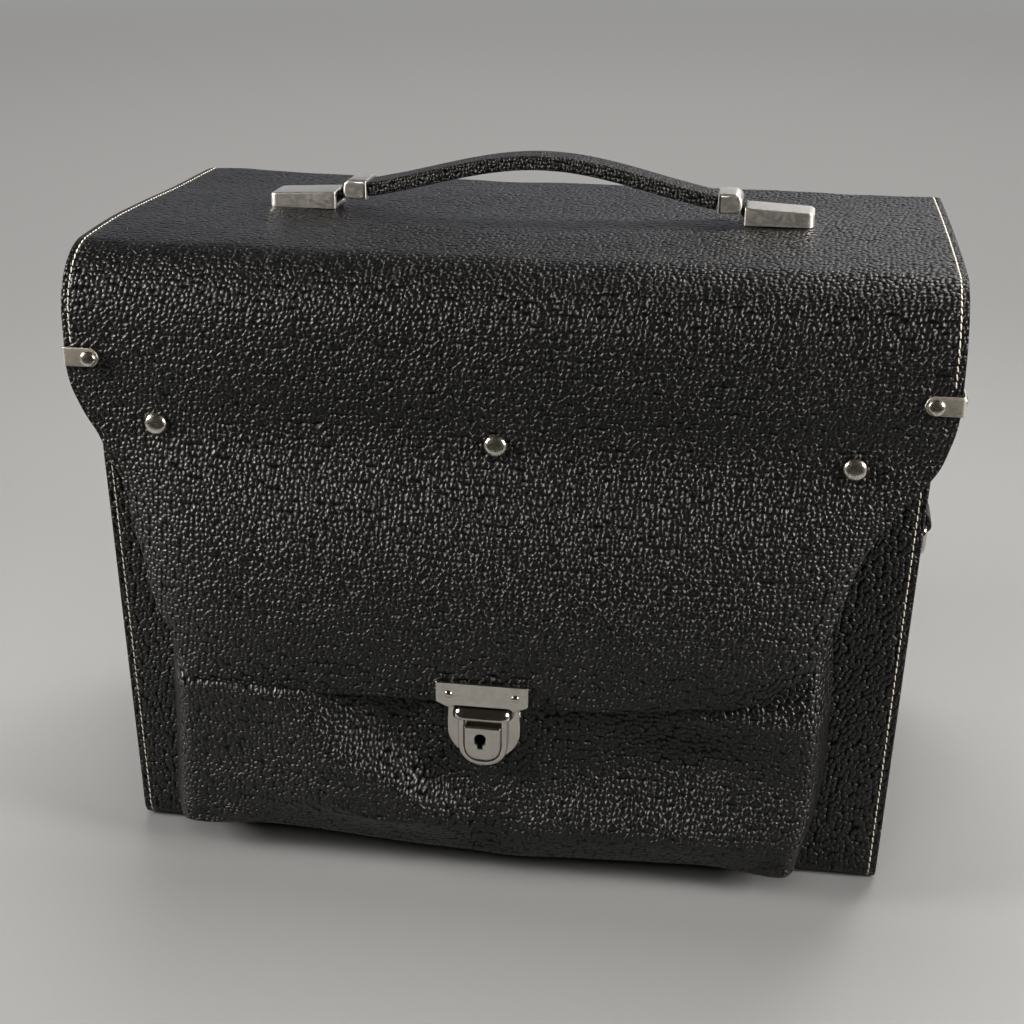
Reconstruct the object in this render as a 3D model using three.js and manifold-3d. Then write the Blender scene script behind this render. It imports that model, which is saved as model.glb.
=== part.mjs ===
// A black leather camera case: a box body with a moulded front pocket, a hooded lid whose front runs down
// as a flap to a nickel press lock, an arched carrying handle, and a strap ring on each side.
// Millimetres. +Z is up, the front faces -Y, and the origin is the middle of the base.
import * as THREE from 'three';
import { mergeVertices } from 'three/addons/utils/BufferGeometryUtils.js';
import Module from 'manifold-3d';

const wasm = await Module();
wasm.setup();

// Leather and fits
const LEATHER = 2.5;
const THIN_LEATHER = 2.2;
const FIT = 0.3;
const MERGE = 1e-4;

// Body: a box that widens a little from the base to the top, with side panels that bow outwards
const FRONT_Y = -99.3;
const BACK_Y = 96.5;
const BASE_HALF_WIDTH = 166.7;
const WIDENING = 0.035;
const FRONT_TOP_Z = 240;
const BACK_TOP_Z = 254;
const BASE_BEND = 8;
const WALL_STOPS = [90, 180];
const SIDE_TOP_Z = 244;
const SIDE_INSET = 0.5;
const SIDE_BOW = 4.5;
const SIDE_FLANGE = 11;
const SIDE_CORNER = 3;
const SIDE_CORNER_INSIDE = 1.2;

// Lid: skirt on the back, a top that rises towards the front, a soft roll and the front
const LID_BACK_Y = 99.3;
const LID_FRONT_Y = -105.3;
const LID_BACK_Z = 262;
const LID_RISE = 6.5;
const LID_FOLD = 3.5;
const LID_ROLL = 28;
const LID_HALF_BACK = 181.8;
const LID_HALF_FRONT = 183.7;
const SKIRT_Z = 222;
const WING_FLANGE = 5.5;
const WING_INSET = 0.1;
const WING_FRONT_Z = 220.4;

// Lid front and flap, a row for each height: depth in the middle and at the edges, and both edges
const FLAP_ROWS = [
  { z: 86.0, mid: -124.9, edge: -122.6, left: -124.0, right: 58.0 },
  { z: 88.0, mid: -125.0, edge: -122.2, left: -132.0, right: 82.0 },
  { z: 91.0, mid: -125.2, edge: -121.8, left: -135.4, right: 97.0 },
  { z: 95.5, mid: -125.5, edge: -121.2, left: -136.8, right: 111.0 },
  { z: 101.0, mid: -125.8, edge: -120.4, left: -138.4, right: 121.0 },
  { z: 107.0, mid: -126.2, edge: -119.4, left: -141.0, right: 129.8 },
  { z: 114.0, mid: -126.5, edge: -118.2, left: -145.6, right: 135.0 },
  { z: 122.0, mid: -126.3, edge: -116.8, left: -149.2, right: 138.2 },
  { z: 131.0, mid: -125.4, edge: -114.8, left: -151.9, right: 140.9 },
  { z: 140.0, mid: -123.9, edge: -112.6, left: -154.0, right: 143.4 },
  { z: 149.0, mid: -121.7, edge: -110.3, left: -157.4, right: 146.2 },
  { z: 158.0, mid: -118.8, edge: -108.2, left: -159.4, right: 150.2 },
  { z: 166.0, mid: -115.4, edge: -106.6, left: -160.9, right: 154.6 },
  { z: 173.0, mid: -111.8, edge: -105.4, left: -164.0, right: 159.0 },
  { z: 179.0, mid: -108.6, edge: -104.7, left: -168.0, right: 164.6 },
  { z: 185.0, mid: -105.9, edge: -104.2, left: -170.4, right: 169.2 },
  { z: 191.0, mid: -104.1, edge: -104.0, left: -172.4, right: 173.4 },
  { z: 197.0, mid: -103.3, edge: -104.0, left: -175.9, right: 177.0 },
  { z: 204.0, mid: -103.5, edge: -104.2, left: -179.0, right: 179.7 },
  { z: 212.0, mid: -104.4, edge: -104.6, left: -181.7, right: 182.1 },
  { z: 220.0, mid: -105.0, edge: -105.0, left: -183.2, right: 183.3 },
  { z: 229.0, mid: -105.3, edge: -105.3, left: -183.6, right: 183.7 },
];
const FLAP_EDGE_POWER = 5;

// Pocket: its height profile, a row for each height, the sloping side walls, and its dents and folds
const POCKET_X = -4;
const POCKET_ROWS = [
  { z: 9.2, depth: FIT, halfBase: 136, halfFront: 130 },
  { z: 8.6, depth: 6, halfBase: 137, halfFront: 130 },
  { z: 9.0, depth: 12, halfBase: 138, halfFront: 130.5 },
  { z: 11.2, depth: 18, halfBase: 139, halfFront: 131 },
  { z: 15.2, depth: 22, halfBase: 140, halfFront: 131.5 },
  { z: 21, depth: 24, halfBase: 141, halfFront: 132 },
  { z: 29, depth: 24.4, halfBase: 142, halfFront: 132.5 },
  { z: 38, depth: 24, halfBase: 142.5, halfFront: 133 },
  { z: 48, depth: 23.2, halfBase: 143, halfFront: 133 },
  { z: 58, depth: 22.4, halfBase: 143, halfFront: 133.5 },
  { z: 68, depth: 22, halfBase: 143, halfFront: 133.5 },
  { z: 79, depth: 21.9, halfBase: 143, halfFront: 134 },
  { z: 91, depth: 22.2, halfBase: 143, halfFront: 134 },
  { z: 104, depth: 22.6, halfBase: 143, halfFront: 134 },
  { z: 117, depth: 22.8, halfBase: 143, halfFront: 133.5 },
  { z: 130, depth: 21.8, halfBase: 142.5, halfFront: 133 },
  { z: 142, depth: 19.6, halfBase: 142, halfFront: 132 },
  { z: 153, depth: 16.4, halfBase: 141.5, halfFront: 131 },
  { z: 162, depth: 13.0, halfBase: 141, halfFront: 130 },
];
const POCKET_WALL_COLUMNS = [
  { out: 0, share: 0 },
  { out: 0.3, share: 0.36 },
  { out: 0.62, share: 0.7 },
  { out: 0.86, share: 0.92 },
  { out: 1, share: 1 },
];
const POCKET_FRONT_COLUMNS = 14;
const POCKET_SAG = { drop: 3.4, width: 50, height: 30, depth: 12 };
const POCKET_FOLDS = [
  { x: -52, z: 44, spreadX: 42, spreadZ: 15, rise: 3.0 },
  { x: -70, z: 74, spreadX: 44, spreadZ: 11, rise: -2.4 },
  { x: 72, z: 62, spreadX: 52, spreadZ: 16, rise: -2.6 },
  { x: 70, z: 31, spreadX: 60, spreadZ: 9, rise: 2.2 },
  { x: -4, z: 30, spreadX: 11, spreadZ: 17, rise: -3.6 },
];
const POCKET_FRONT_FROM = 8;
const POCKET_FRONT_TO = 20;
const FLAP_CLEARANCE = 1.1;
const FLAP_SHELTER = 8;

// Lock: the hasp plate on the flap, and the shield, keyhole panel and slide on the pocket
const LOCK_X = -3.4;
const LOCK_SEAT_DEPTH = 21.8;
const LOCK_SEAT = { bottom: 52, top: 92, half: 22, blend: 12 };
const HASP = { halfWidth: 19.8, top: 97, sideBottom: 87.5, cornerX: 13.6, bottom: 84.8 };
const HASP_NOTCH = { halfWidth: 11.6, top: 86.2 };
const HASP_BACK_Y = -125.9;
const HASP_THICK = 1.6;
const HASP_PIN = { x: 14.2, z: 91.4, radius: 1.6, height: 0.9 };
const SHIELD = { halfWidth: 15.6, top: 83.4, straightTo: 72, bottom: 58.6, thick: 1.1 };
const SHIELD_CURVE = { side: 0.6, base: 0.7 };
const SLIDE = { halfWidth: 10.6, rim: 2.5, bottom: 57.4, top: 80.2, windowTop: 79.2, thick: 3.0 };
const LEDGE = { halfWidth: 13.1, bottom: 79, top: 83.8, reach: 6.6, round: 4.2 };
const SLIDE_TRAVEL = 3;
const KEYPLATE = { halfWidth: 7.7, bottom: 60.3, thick: 3.4 };
const KEYHOLE = { x: -1.0, z: 70.1, radius: 2.35, slotHalf: 1.1, slotBottom: 66.2 };

// Rivets and clips at the hood's corners
const RIVET = { radius: 4.75, height: 2.6, seat: 0.8 };
const FLAP_RIVETS = { left: { x: -145.2, z: 197 }, centre: { x: -1.4, z: 196.4 }, right: { x: 144, z: 196 } };
const CLIP = { inner: 169.2, outer: 184.9, bottom: 219.4, top: 228.6, thick: 0.9, sideReach: 14 };
const CLIP_RIVET = { x: 173.4, z: 224, radius: 3.4, height: 1.9 };
const CLIP_SIDE_RIVET = { y: -96.5, radius: 2.6, height: 1.4 };

// Handle: an arched strap between two capped ends, whose tongues slide in box brackets
const HANDLE_Y = 7;
const HANDLE_X = 1.2;
const GRIP = { half: 78.6, width: 18, thick: 6.3, endZ: 9.6, rise: 14.2, round: 1.6, steps: 20 };
const CAP = { length: 10.6, width: 19.6, height: 8.4, round: 3.4 };
const BRACKET = { inner: 92, length: 30.5, width: 20, height: 8, round: 2.2, edge: 0.9 };
const TONGUE = { width: 11, thick: 2.6, z: 3.9, reach: 18 };

// Strap rings: a round-wire D hanging from a leather loop on each side panel
const RING = { z: 134.6, halfWidth: 13, drop: 15.2, wire: 1.6, corner: 3.2, sides: 8 };
const CHAPE = { width: 21, top: 168, layer: 1.8, endRound: 1.2, neckLow: 2.2, neckHigh: 8.9 };

const MATERIALS = {
  leather: { color: 0x17171a, roughness: 0.42, metalness: 0 },
  nickel: { color: 0xb9b6ac, roughness: 0.22, metalness: 1 },
  chrome: { color: 0xc9c9c6, roughness: 0.12, metalness: 1 },
};

const lerp = THREE.MathUtils.lerp;
const clamp = THREE.MathUtils.clamp;
const smooth = (x, from, to) => THREE.MathUtils.smoothstep(x, from, to);
const point = (x, y, z) => new THREE.Vector3(x, y, z);

/** Half the body's width at a height. */
const bodyHalf = (z) => BASE_HALF_WIDTH + WIDENING * z;

/** Value of one column of a table at a height, straight between the rows. */
function tableAt(rows, column, z) {
  const next = rows.findIndex((row) => row.z >= z);
  if (next === -1) return rows[rows.length - 1][column];
  if (next === 0) return rows[0][column];
  const a = rows[next - 1];
  const b = rows[next];
  return lerp(a[column], b[column], (z - a.z) / (b.z - a.z));
}

/** Turns every face of an indexed geometry outwards, by the sign of the volume that it encloses. */
function faceOutwards(geometry) {
  const position = geometry.getAttribute('position');
  const index = geometry.getIndex();
  const a = new THREE.Vector3();
  const b = new THREE.Vector3();
  const c = new THREE.Vector3();
  let volume = 0;
  for (let i = 0; i < index.count; i += 3) {
    a.fromBufferAttribute(position, index.getX(i));
    b.fromBufferAttribute(position, index.getX(i + 1));
    c.fromBufferAttribute(position, index.getX(i + 2));
    volume += a.dot(b.cross(c));
  }
  if (volume > 0) return geometry;
  for (let i = 0; i < index.count; i += 3) {
    const second = index.getX(i + 1);
    index.setX(i + 1, index.getX(i + 2));
    index.setX(i + 2, second);
  }
  return geometry;
}

/** An indexed geometry from points and triangles. */
function fromFaces(points, faces) {
  const geometry = new THREE.BufferGeometry();
  const numbers = points.flatMap((p) => p.toArray());
  geometry.setAttribute('position', new THREE.Float32BufferAttribute(numbers, 3));
  geometry.setIndex(faces);
  return faceOutwards(geometry);
}

/** Joins two equal grids of points, an outer and an inner one, into one closed solid with a rim all round. */
function shell(outer, inner) {
  const rows = outer.length;
  const columns = outer[0].length;
  const shift = rows * columns;
  const at = (v, u) => v * columns + u;
  const faces = [];
  const quad = (a, b, c, d) => faces.push(a, b, c, a, c, d);
  for (let v = 0; v < rows - 1; v += 1) {
    for (let u = 0; u < columns - 1; u += 1) {
      quad(at(v, u), at(v, u + 1), at(v + 1, u + 1), at(v + 1, u));
      quad(shift + at(v, u), shift + at(v + 1, u), shift + at(v + 1, u + 1), shift + at(v, u + 1));
    }
  }
  const rim = (a, b) => quad(a, b, shift + b, shift + a);
  for (let u = 0; u < columns - 1; u += 1) {
    rim(at(0, u + 1), at(0, u));
    rim(at(rows - 1, u), at(rows - 1, u + 1));
  }
  for (let v = 0; v < rows - 1; v += 1) {
    rim(at(v, 0), at(v + 1, 0));
    rim(at(v + 1, columns - 1), at(v, columns - 1));
  }
  return fromFaces([...outer.flat(), ...inner.flat()], faces);
}

/** Unit normals of a grid of points, from the neighbours of each point. */
function gridNormals(grid) {
  const rows = grid.length;
  const columns = grid[0].length;
  return grid.map((row, v) => row.map((_, u) => {
    const along = grid[v][Math.min(u + 1, columns - 1)].clone().sub(grid[v][Math.max(u - 1, 0)]);
    const up = grid[Math.min(v + 1, rows - 1)][u].clone().sub(grid[Math.max(v - 1, 0)][u]);
    return along.cross(up).normalize();
  }));
}

/** A leather sheet: a grid of outer points and the same grid moved inwards along its normals. */
function sheet(grid, thickness, settle = (p) => p) {
  const normals = gridNormals(grid);
  const inner = grid.map((row, v) => row.map((p, u) => (
    settle(p.clone().addScaledVector(normals[v][u], -thickness))
  )));
  return shell(grid, inner);
}

/** A solid through rings of points with the same count, closed by fans at both ends or joined into a loop. */
function loft(rings, closed = false) {
  const sides = rings[0].length;
  const points = rings.flat();
  const faces = [];
  const spans = closed ? rings.length : rings.length - 1;
  for (let k = 0; k < spans; k += 1) {
    const here = k * sides;
    const there = ((k + 1) % rings.length) * sides;
    for (let i = 0; i < sides; i += 1) {
      const j = (i + 1) % sides;
      faces.push(here + i, here + j, there + j, here + i, there + j, there + i);
    }
  }
  if (!closed) {
    const last = (rings.length - 1) * sides;
    for (let i = 1; i < sides - 1; i += 1) {
      faces.push(0, i + 1, i);
      faces.push(last, last + i, last + i + 1);
    }
  }
  return fromFaces(points, faces);
}

/** A closed geometry as a manifold solid, with shared points merged and faces turned outwards. */
function toSolid(geometry) {
  const bare = geometry.clone();
  bare.deleteAttribute('normal');
  bare.deleteAttribute('uv');
  const merged = faceOutwards(mergeVertices(bare, MERGE));
  return new wasm.Manifold(new wasm.Mesh({
    numProp: 3,
    vertProperties: new Float32Array(merged.getAttribute('position').array),
    triVerts: new Uint32Array(merged.getIndex().array),
  }));
}

/** A manifold solid as a geometry. */
function toGeometry(solid) {
  const mesh = solid.getMesh();
  const geometry = new THREE.BufferGeometry();
  geometry.setAttribute('position', new THREE.Float32BufferAttribute(mesh.vertProperties, 3));
  geometry.setIndex([...mesh.triVerts]);
  return geometry;
}

/** The same geometry on the other side of the case. */
const mirrored = (geometry) => faceOutwards(geometry.applyMatrix4(new THREE.Matrix4().makeScale(-1, 1, 1)));

const join = (a, b) => toGeometry(toSolid(a).add(toSolid(b)));
const cut = (a, b) => toGeometry(toSolid(a).subtract(toSolid(b)));

/** A flat outline drawn in X and Z, made solid from its back plane towards the front. */
function plateFacingFront(shape, backY, thick, curveSegments = 8, bevel = 0) {
  const geometry = new THREE.ExtrudeGeometry(shape, {
    depth: thick - bevel,
    curveSegments,
    bevelEnabled: bevel > 0,
    bevelSize: bevel,
    bevelThickness: bevel,
    bevelOffset: -bevel,
    bevelSegments: 2,
  });
  return geometry.rotateX(Math.PI / 2).translate(0, backY, 0);
}

/** A rectangle with rounded corners about a centre. */
function roundedRectangle(x, y, width, height, round) {
  const left = x - width / 2;
  const right = x + width / 2;
  const low = y - height / 2;
  const high = y + height / 2;
  return new THREE.Shape()
    .moveTo(left + round, low)
    .lineTo(right - round, low)
    .absarc(right - round, low + round, round, -Math.PI / 2, 0)
    .lineTo(right, high - round)
    .absarc(right - round, high - round, round, 0, Math.PI / 2)
    .lineTo(left + round, high)
    .absarc(left + round, high - round, round, Math.PI / 2, Math.PI)
    .lineTo(left, low + round)
    .absarc(left + round, low + round, round, Math.PI, Math.PI * 1.5);
}

/** A low dome on a short straight edge, standing on its back plane and facing the front. */
function dome(radius, height, sides = 12) {
  const edge = height / 4;
  const profile = [new THREE.Vector2(0, 0), new THREE.Vector2(radius, 0)];
  const rings = 2;
  for (let k = 0; k <= rings; k += 1) {
    const angle = (k / rings) * (Math.PI / 2);
    profile.push(new THREE.Vector2(radius * Math.cos(angle), edge + (height - edge) * Math.sin(angle)));
  }
  profile[profile.length - 1].x = 0;
  return new THREE.LatheGeometry(profile, sides).rotateX(Math.PI);
}

/** Points of an arc in Y and Z, as [y, z] pairs. */
function arc(centreY, centreZ, radius, from, to, steps) {
  return Array.from({ length: steps + 1 }, (_, k) => {
    const angle = lerp(from, to, k / steps);
    return [centreY + radius * Math.cos(angle), centreZ + radius * Math.sin(angle)];
  });
}

// Body

/** Front, base and back in one panel: down the front, round the base bend and up the back. */
function bodyWrap() {
  const profile = [
    [FRONT_Y, FRONT_TOP_Z],
    ...WALL_STOPS.toReversed().map((z) => [FRONT_Y, z]),
    ...arc(FRONT_Y + BASE_BEND, BASE_BEND, BASE_BEND, Math.PI, Math.PI * 1.5, 4),
    ...arc(BACK_Y - BASE_BEND, BASE_BEND, BASE_BEND, Math.PI * 1.5, Math.PI * 2, 4),
    ...WALL_STOPS.map((z) => [BACK_Y, z]),
    [BACK_Y, BACK_TOP_Z],
  ];
  const columns = 4;
  const grid = profile.map(([y, z]) => Array.from({ length: columns + 1 }, (_, u) => (
    point(lerp(1, -1, u / columns) * bodyHalf(z), y, z)
  )));
  return sheet(grid, LEATHER);
}

/** How far the wrap's inner face curves in from its straight wall at a height, round the base bend. */
function bendRecess(z) {
  const inside = BASE_BEND - LEATHER - FIT;
  const below = clamp(BASE_BEND - z, 0, inside);
  return inside - Math.sqrt(inside * inside - below * below);
}

/** Bow of a side panel outwards: none at its seams, most in the middle. */
function sideBow(y, z) {
  const across = Math.cos((Math.PI * (y - (FRONT_Y + BACK_Y) / 2)) / (BACK_Y - FRONT_Y));
  return SIDE_BOW * Math.max(across, 0) * Math.sin((Math.PI * clamp(z, 0, SIDE_TOP_Z)) / SIDE_TOP_Z);
}

/** A side panel: a channel in plan, with flanges turned in behind the front and the back. */
function sidePanel(side) {
  const heights = [LEATHER + FIT, 3.6, 5.4, BASE_BEND, 24, 48, 76, 106, 136, 166, 196, 222, SIDE_TOP_Z];
  const webSteps = 8;
  const bendSteps = 2;
  const channel = (z, inset, round) => {
    const recess = bendRecess(z);
    const front = FRONT_Y + LEATHER + FIT + recess + inset;
    const back = BACK_Y - LEATHER - FIT - recess - inset;
    const outside = bodyHalf(z) - SIDE_INSET - inset;
    const tip = bodyHalf(z) - SIDE_INSET - SIDE_FLANGE;
    const path = [[tip, front]];
    for (let k = 0; k <= bendSteps; k += 1) {
      const angle = lerp(-Math.PI / 2, 0, k / bendSteps);
      path.push([outside - round + round * Math.cos(angle), front + round + round * Math.sin(angle)]);
    }
    for (let k = 1; k < webSteps; k += 1) {
      const y = lerp(front + round, back - round, k / webSteps);
      path.push([outside + sideBow(y, z), y]);
    }
    for (let k = 0; k <= bendSteps; k += 1) {
      const angle = lerp(0, Math.PI / 2, k / bendSteps);
      path.push([outside - round + round * Math.cos(angle), back - round + round * Math.sin(angle)]);
    }
    path.push([tip, back]);
    return path.map(([x, y]) => point(side * x, y, z));
  };
  const outer = heights.map((z) => channel(z, 0, SIDE_CORNER));
  const inner = heights.map((z) => channel(z, THIN_LEATHER, SIDE_CORNER_INSIDE));
  return shell(outer, inner);
}

// Lid

/** Height of the lid's top at a depth: a rise from the back fold to the front roll. */
function lidTop(y) {
  const back = LID_BACK_Y - LID_FOLD;
  const front = LID_FRONT_Y + LID_ROLL;
  const along = clamp((back - y) / (back - front), 0, 1);
  return LID_BACK_Z + LID_RISE * Math.sin((along * Math.PI) / 2);
}

/** The lid's outer profile above the flap rows, from the roll over the top and down the skirt. */
function lidProfile() {
  const rollY = LID_FRONT_Y + LID_ROLL;
  const rollZ = LID_BACK_Z + LID_RISE - LID_ROLL;
  const roll = arc(rollY, rollZ, LID_ROLL, Math.PI, Math.PI / 2, 6);
  const topSteps = 7;
  const foldY = LID_BACK_Y - LID_FOLD;
  const top = Array.from({ length: topSteps - 1 }, (_, k) => {
    const y = lerp(rollY, foldY, (k + 1) / topSteps);
    return [y, lidTop(y)];
  });
  const fold = arc(foldY, LID_BACK_Z - LID_FOLD, LID_FOLD, Math.PI / 2, 0, 3);
  return [...roll, ...top, ...fold, [LID_BACK_Y, SKIRT_Z]];
}

/** Half the lid's width at a depth. */
const lidHalf = (y) => lerp(LID_HALF_FRONT, LID_HALF_BACK, (y - LID_FRONT_Y) / (LID_BACK_Y - LID_FRONT_Y));

/** Depth of the lid's front and flap at a place: flat in the middle, drawn towards the body at the edges. */
function flapY(x, z) {
  const left = tableAt(FLAP_ROWS, 'left', z);
  const right = tableAt(FLAP_ROWS, 'right', z);
  const across = clamp((2 * x - left - right) / (right - left), -1, 1);
  const mid = tableAt(FLAP_ROWS, 'mid', z);
  const edge = tableAt(FLAP_ROWS, 'edge', z);
  return lerp(mid, edge, Math.abs(across) ** FLAP_EDGE_POWER);
}

/** The lid: the flap's rows from its lower edge up, then the roll, the top and the skirt on the back. */
function lid() {
  const columns = 20;
  const crowding = 1.3;
  const shares = Array.from({ length: columns + 1 }, (_, u) => (
    Math.sin(lerp(-crowding, crowding, u / columns)) / Math.sin(crowding)
  ));
  const flap = FLAP_ROWS.map(({ z, left, right }) => shares.map((share) => {
    const x = (left + right) / 2 + (share * (right - left)) / 2;
    return point(x, flapY(x, z), z);
  }));
  const hood = lidProfile().map(([y, z]) => shares.map((share) => point(share * lidHalf(y), y, z)));
  return sheet([...flap, ...hood], LEATHER);
}

/** A side skirt of the hood: a web that fills the lid's end and a flange turned in under the lid's edge. */
function lidWing(side) {
  const rollY = LID_FRONT_Y + LID_ROLL;
  const rollZ = LID_BACK_Z + LID_RISE - LID_ROLL;
  const outline = (inset) => {
    const foldY = LID_BACK_Y - LID_FOLD;
    const topSteps = 5;
    const top = Array.from({ length: topSteps - 1 }, (_, k) => {
      const y = lerp(rollY, foldY, (k + 1) / topSteps);
      return [y, lidTop(y) - inset];
    });
    return [
      [LID_FRONT_Y + inset, WING_FRONT_Z],
      ...arc(rollY, rollZ, LID_ROLL - inset, Math.PI, Math.PI / 2, 5),
      ...top,
      [foldY, LID_BACK_Z - inset],
      [LID_BACK_Y - inset, LID_BACK_Z - LID_FOLD],
      [LID_BACK_Y - inset, SKIRT_Z],
    ];
  };
  const outer = outline(LEATHER + FIT);
  const inner = outline(LEATHER + FIT + THIN_LEATHER).reverse();
  const shapeOf = (path) => new THREE.Shape(path.map(([y, z]) => new THREE.Vector2(y, z)));
  const extrude = (path, depth) => new THREE.ExtrudeGeometry(shapeOf(path), { depth, bevelEnabled: false });
  const web = extrude(outer, THIN_LEATHER);
  const flange = extrude([...outer, ...inner], WING_FLANGE);
  const narrowing = (LID_HALF_FRONT - LID_HALF_BACK) / (LID_BACK_Y - LID_FRONT_Y);
  const stand = new THREE.Matrix4().set(
    -narrowing, 0, -1, lidHalf(0) - WING_INSET,
    1, 0, 0, 0,
    0, 1, 0, 0,
    0, 0, 0, 1,
  );
  const geometry = faceOutwards(join(web, flange).applyMatrix4(stand));
  return side < 0 ? mirrored(geometry) : geometry;
}

// Pocket

/** Rise or dent of the pocket's front at a place: the sum of its folds. */
function pocketFold(x, z) {
  return POCKET_FOLDS.reduce((sum, fold) => {
    const across = (x - fold.x) / fold.spreadX;
    const up = (z - fold.z) / fold.spreadZ;
    return sum + fold.rise * Math.exp(-across * across - up * up);
  }, 0);
}

/** How much of the flat seat for the lock there is at a place, from 0 to 1. */
function lockSeat(x, z) {
  const across = 1 - smooth(Math.abs(x - LOCK_X), LOCK_SEAT.half, LOCK_SEAT.half + LOCK_SEAT.blend);
  const low = smooth(z, LOCK_SEAT.bottom - LOCK_SEAT.blend, LOCK_SEAT.bottom);
  const high = 1 - smooth(z, LOCK_SEAT.top, LOCK_SEAT.top + LOCK_SEAT.blend);
  return across * low * high;
}

/** Depth of the pocket's front at a place, held back under the flap. */
function pocketDepth(x, z, rowDepth) {
  const front = smooth(rowDepth, POCKET_FRONT_FROM, POCKET_FRONT_TO);
  const folded = rowDepth + pocketFold(x, z) * front;
  const seated = lerp(folded, LOCK_SEAT_DEPTH, lockSeat(x, z) * front);
  const underFlap = FRONT_Y - flapY(x, z) - LEATHER - FLAP_CLEARANCE;
  return z > FLAP_ROWS[0].z - FLAP_SHELTER ? Math.min(seated, underFlap) : seated;
}

/** How far the pocket's base hangs below its row at a place: most in the middle, none at the body. */
function pocketSag(x, z, rowDepth) {
  const across = (x - POCKET_X) / POCKET_SAG.width;
  const lowness = 1 - smooth(z, POCKET_ROWS[0].z, POCKET_SAG.height);
  return POCKET_SAG.drop * Math.exp(-across * across) * lowness * smooth(rowDepth, 0, POCKET_SAG.depth);
}

/** The pocket: sloping walls, a dented front and a rounded base, open at the top. */
function frontPocket() {
  const wall = POCKET_WALL_COLUMNS;
  const grid = POCKET_ROWS.map(({ z, depth, halfBase, halfFront }) => {
    const place = (x, share) => {
      const out = lerp(FIT, pocketDepth(x, z, depth), share);
      return point(x, FRONT_Y - out, z - pocketSag(x, z, depth));
    };
    const sideWall = (side) => wall.map(({ out, share }) => (
      place(POCKET_X + side * lerp(halfBase, halfFront, out), share)
    ));
    const front = Array.from({ length: POCKET_FRONT_COLUMNS - 1 }, (_, k) => (
      place(POCKET_X + lerp(-halfFront, halfFront, (k + 1) / POCKET_FRONT_COLUMNS), 1)
    ));
    return [...sideWall(-1), ...front, ...sideWall(1).reverse()];
  });
  const settle = (p) => p.setY(Math.min(p.y, FRONT_Y - FIT));
  return sheet(grid, THIN_LEATHER, settle);
}

// Lock

const LOCK_SEAT_Y = FRONT_Y - LOCK_SEAT_DEPTH - FIT;
const LOCK_FACE_Y = LOCK_SEAT_Y - SHIELD.thick - FIT;

/** The hasp plate on the flap: a straight top, chamfered lower corners and a notch over the thumb ledge. */
function lockHasp() {
  const { halfWidth, top, sideBottom, cornerX, bottom } = HASP;
  const shape = new THREE.Shape()
    .moveTo(LOCK_X - halfWidth, top)
    .lineTo(LOCK_X - halfWidth, sideBottom)
    .lineTo(LOCK_X - cornerX, bottom)
    .lineTo(LOCK_X - HASP_NOTCH.halfWidth, HASP_NOTCH.top)
    .lineTo(LOCK_X + HASP_NOTCH.halfWidth, HASP_NOTCH.top)
    .lineTo(LOCK_X + cornerX, bottom)
    .lineTo(LOCK_X + halfWidth, sideBottom)
    .lineTo(LOCK_X + halfWidth, top);
  return plateFacingFront(shape, HASP_BACK_Y, HASP_THICK);
}

/** The shield on the pocket: straight sides, then rounded in to the bottom. */
function lockBase() {
  const { halfWidth, top, straightTo, bottom, thick } = SHIELD;
  const sideEnd = lerp(straightTo, bottom, SHIELD_CURVE.side);
  const baseEnd = halfWidth * SHIELD_CURVE.base;
  const shape = new THREE.Shape()
    .moveTo(LOCK_X - halfWidth, top)
    .lineTo(LOCK_X - halfWidth, straightTo)
    .bezierCurveTo(LOCK_X - halfWidth, sideEnd, LOCK_X - baseEnd, bottom, LOCK_X, bottom)
    .bezierCurveTo(LOCK_X + baseEnd, bottom, LOCK_X + halfWidth, sideEnd, LOCK_X + halfWidth, straightTo)
    .lineTo(LOCK_X + halfWidth, top);
  return plateFacingFront(shape, LOCK_SEAT_Y, thick, 6);
}

/** A U-shaped outline: straight sides down to a round bottom. */
function uOutline(half, top, bottom) {
  return new THREE.Shape()
    .moveTo(LOCK_X - half, top)
    .lineTo(LOCK_X - half, bottom + half)
    .absarc(LOCK_X, bottom + half, half, Math.PI, Math.PI * 2)
    .lineTo(LOCK_X + half, top);
}

/** The keyhole panel: a raised tongue shape with the keyhole cut through. */
function lockKeyplate() {
  const top = SLIDE.windowTop - SLIDE_TRAVEL - 2 * FIT;
  const shape = uOutline(KEYPLATE.halfWidth, top, KEYPLATE.bottom);
  const { radius, slotHalf, slotBottom, z } = KEYHOLE;
  const x = LOCK_X + KEYHOLE.x;
  const meet = Math.asin(slotHalf / radius);
  const hole = new THREE.Path()
    .moveTo(x - slotHalf, slotBottom)
    .lineTo(x + slotHalf, slotBottom)
    .lineTo(x + slotHalf, z - radius * Math.cos(meet))
    .absarc(x, z, radius, -Math.PI / 2 + meet, Math.PI * 1.5 - meet)
    .lineTo(x - slotHalf, slotBottom);
  shape.holes.push(hole);
  return plateFacingFront(shape, LOCK_FACE_Y, KEYPLATE.thick, 6);
}

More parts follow.
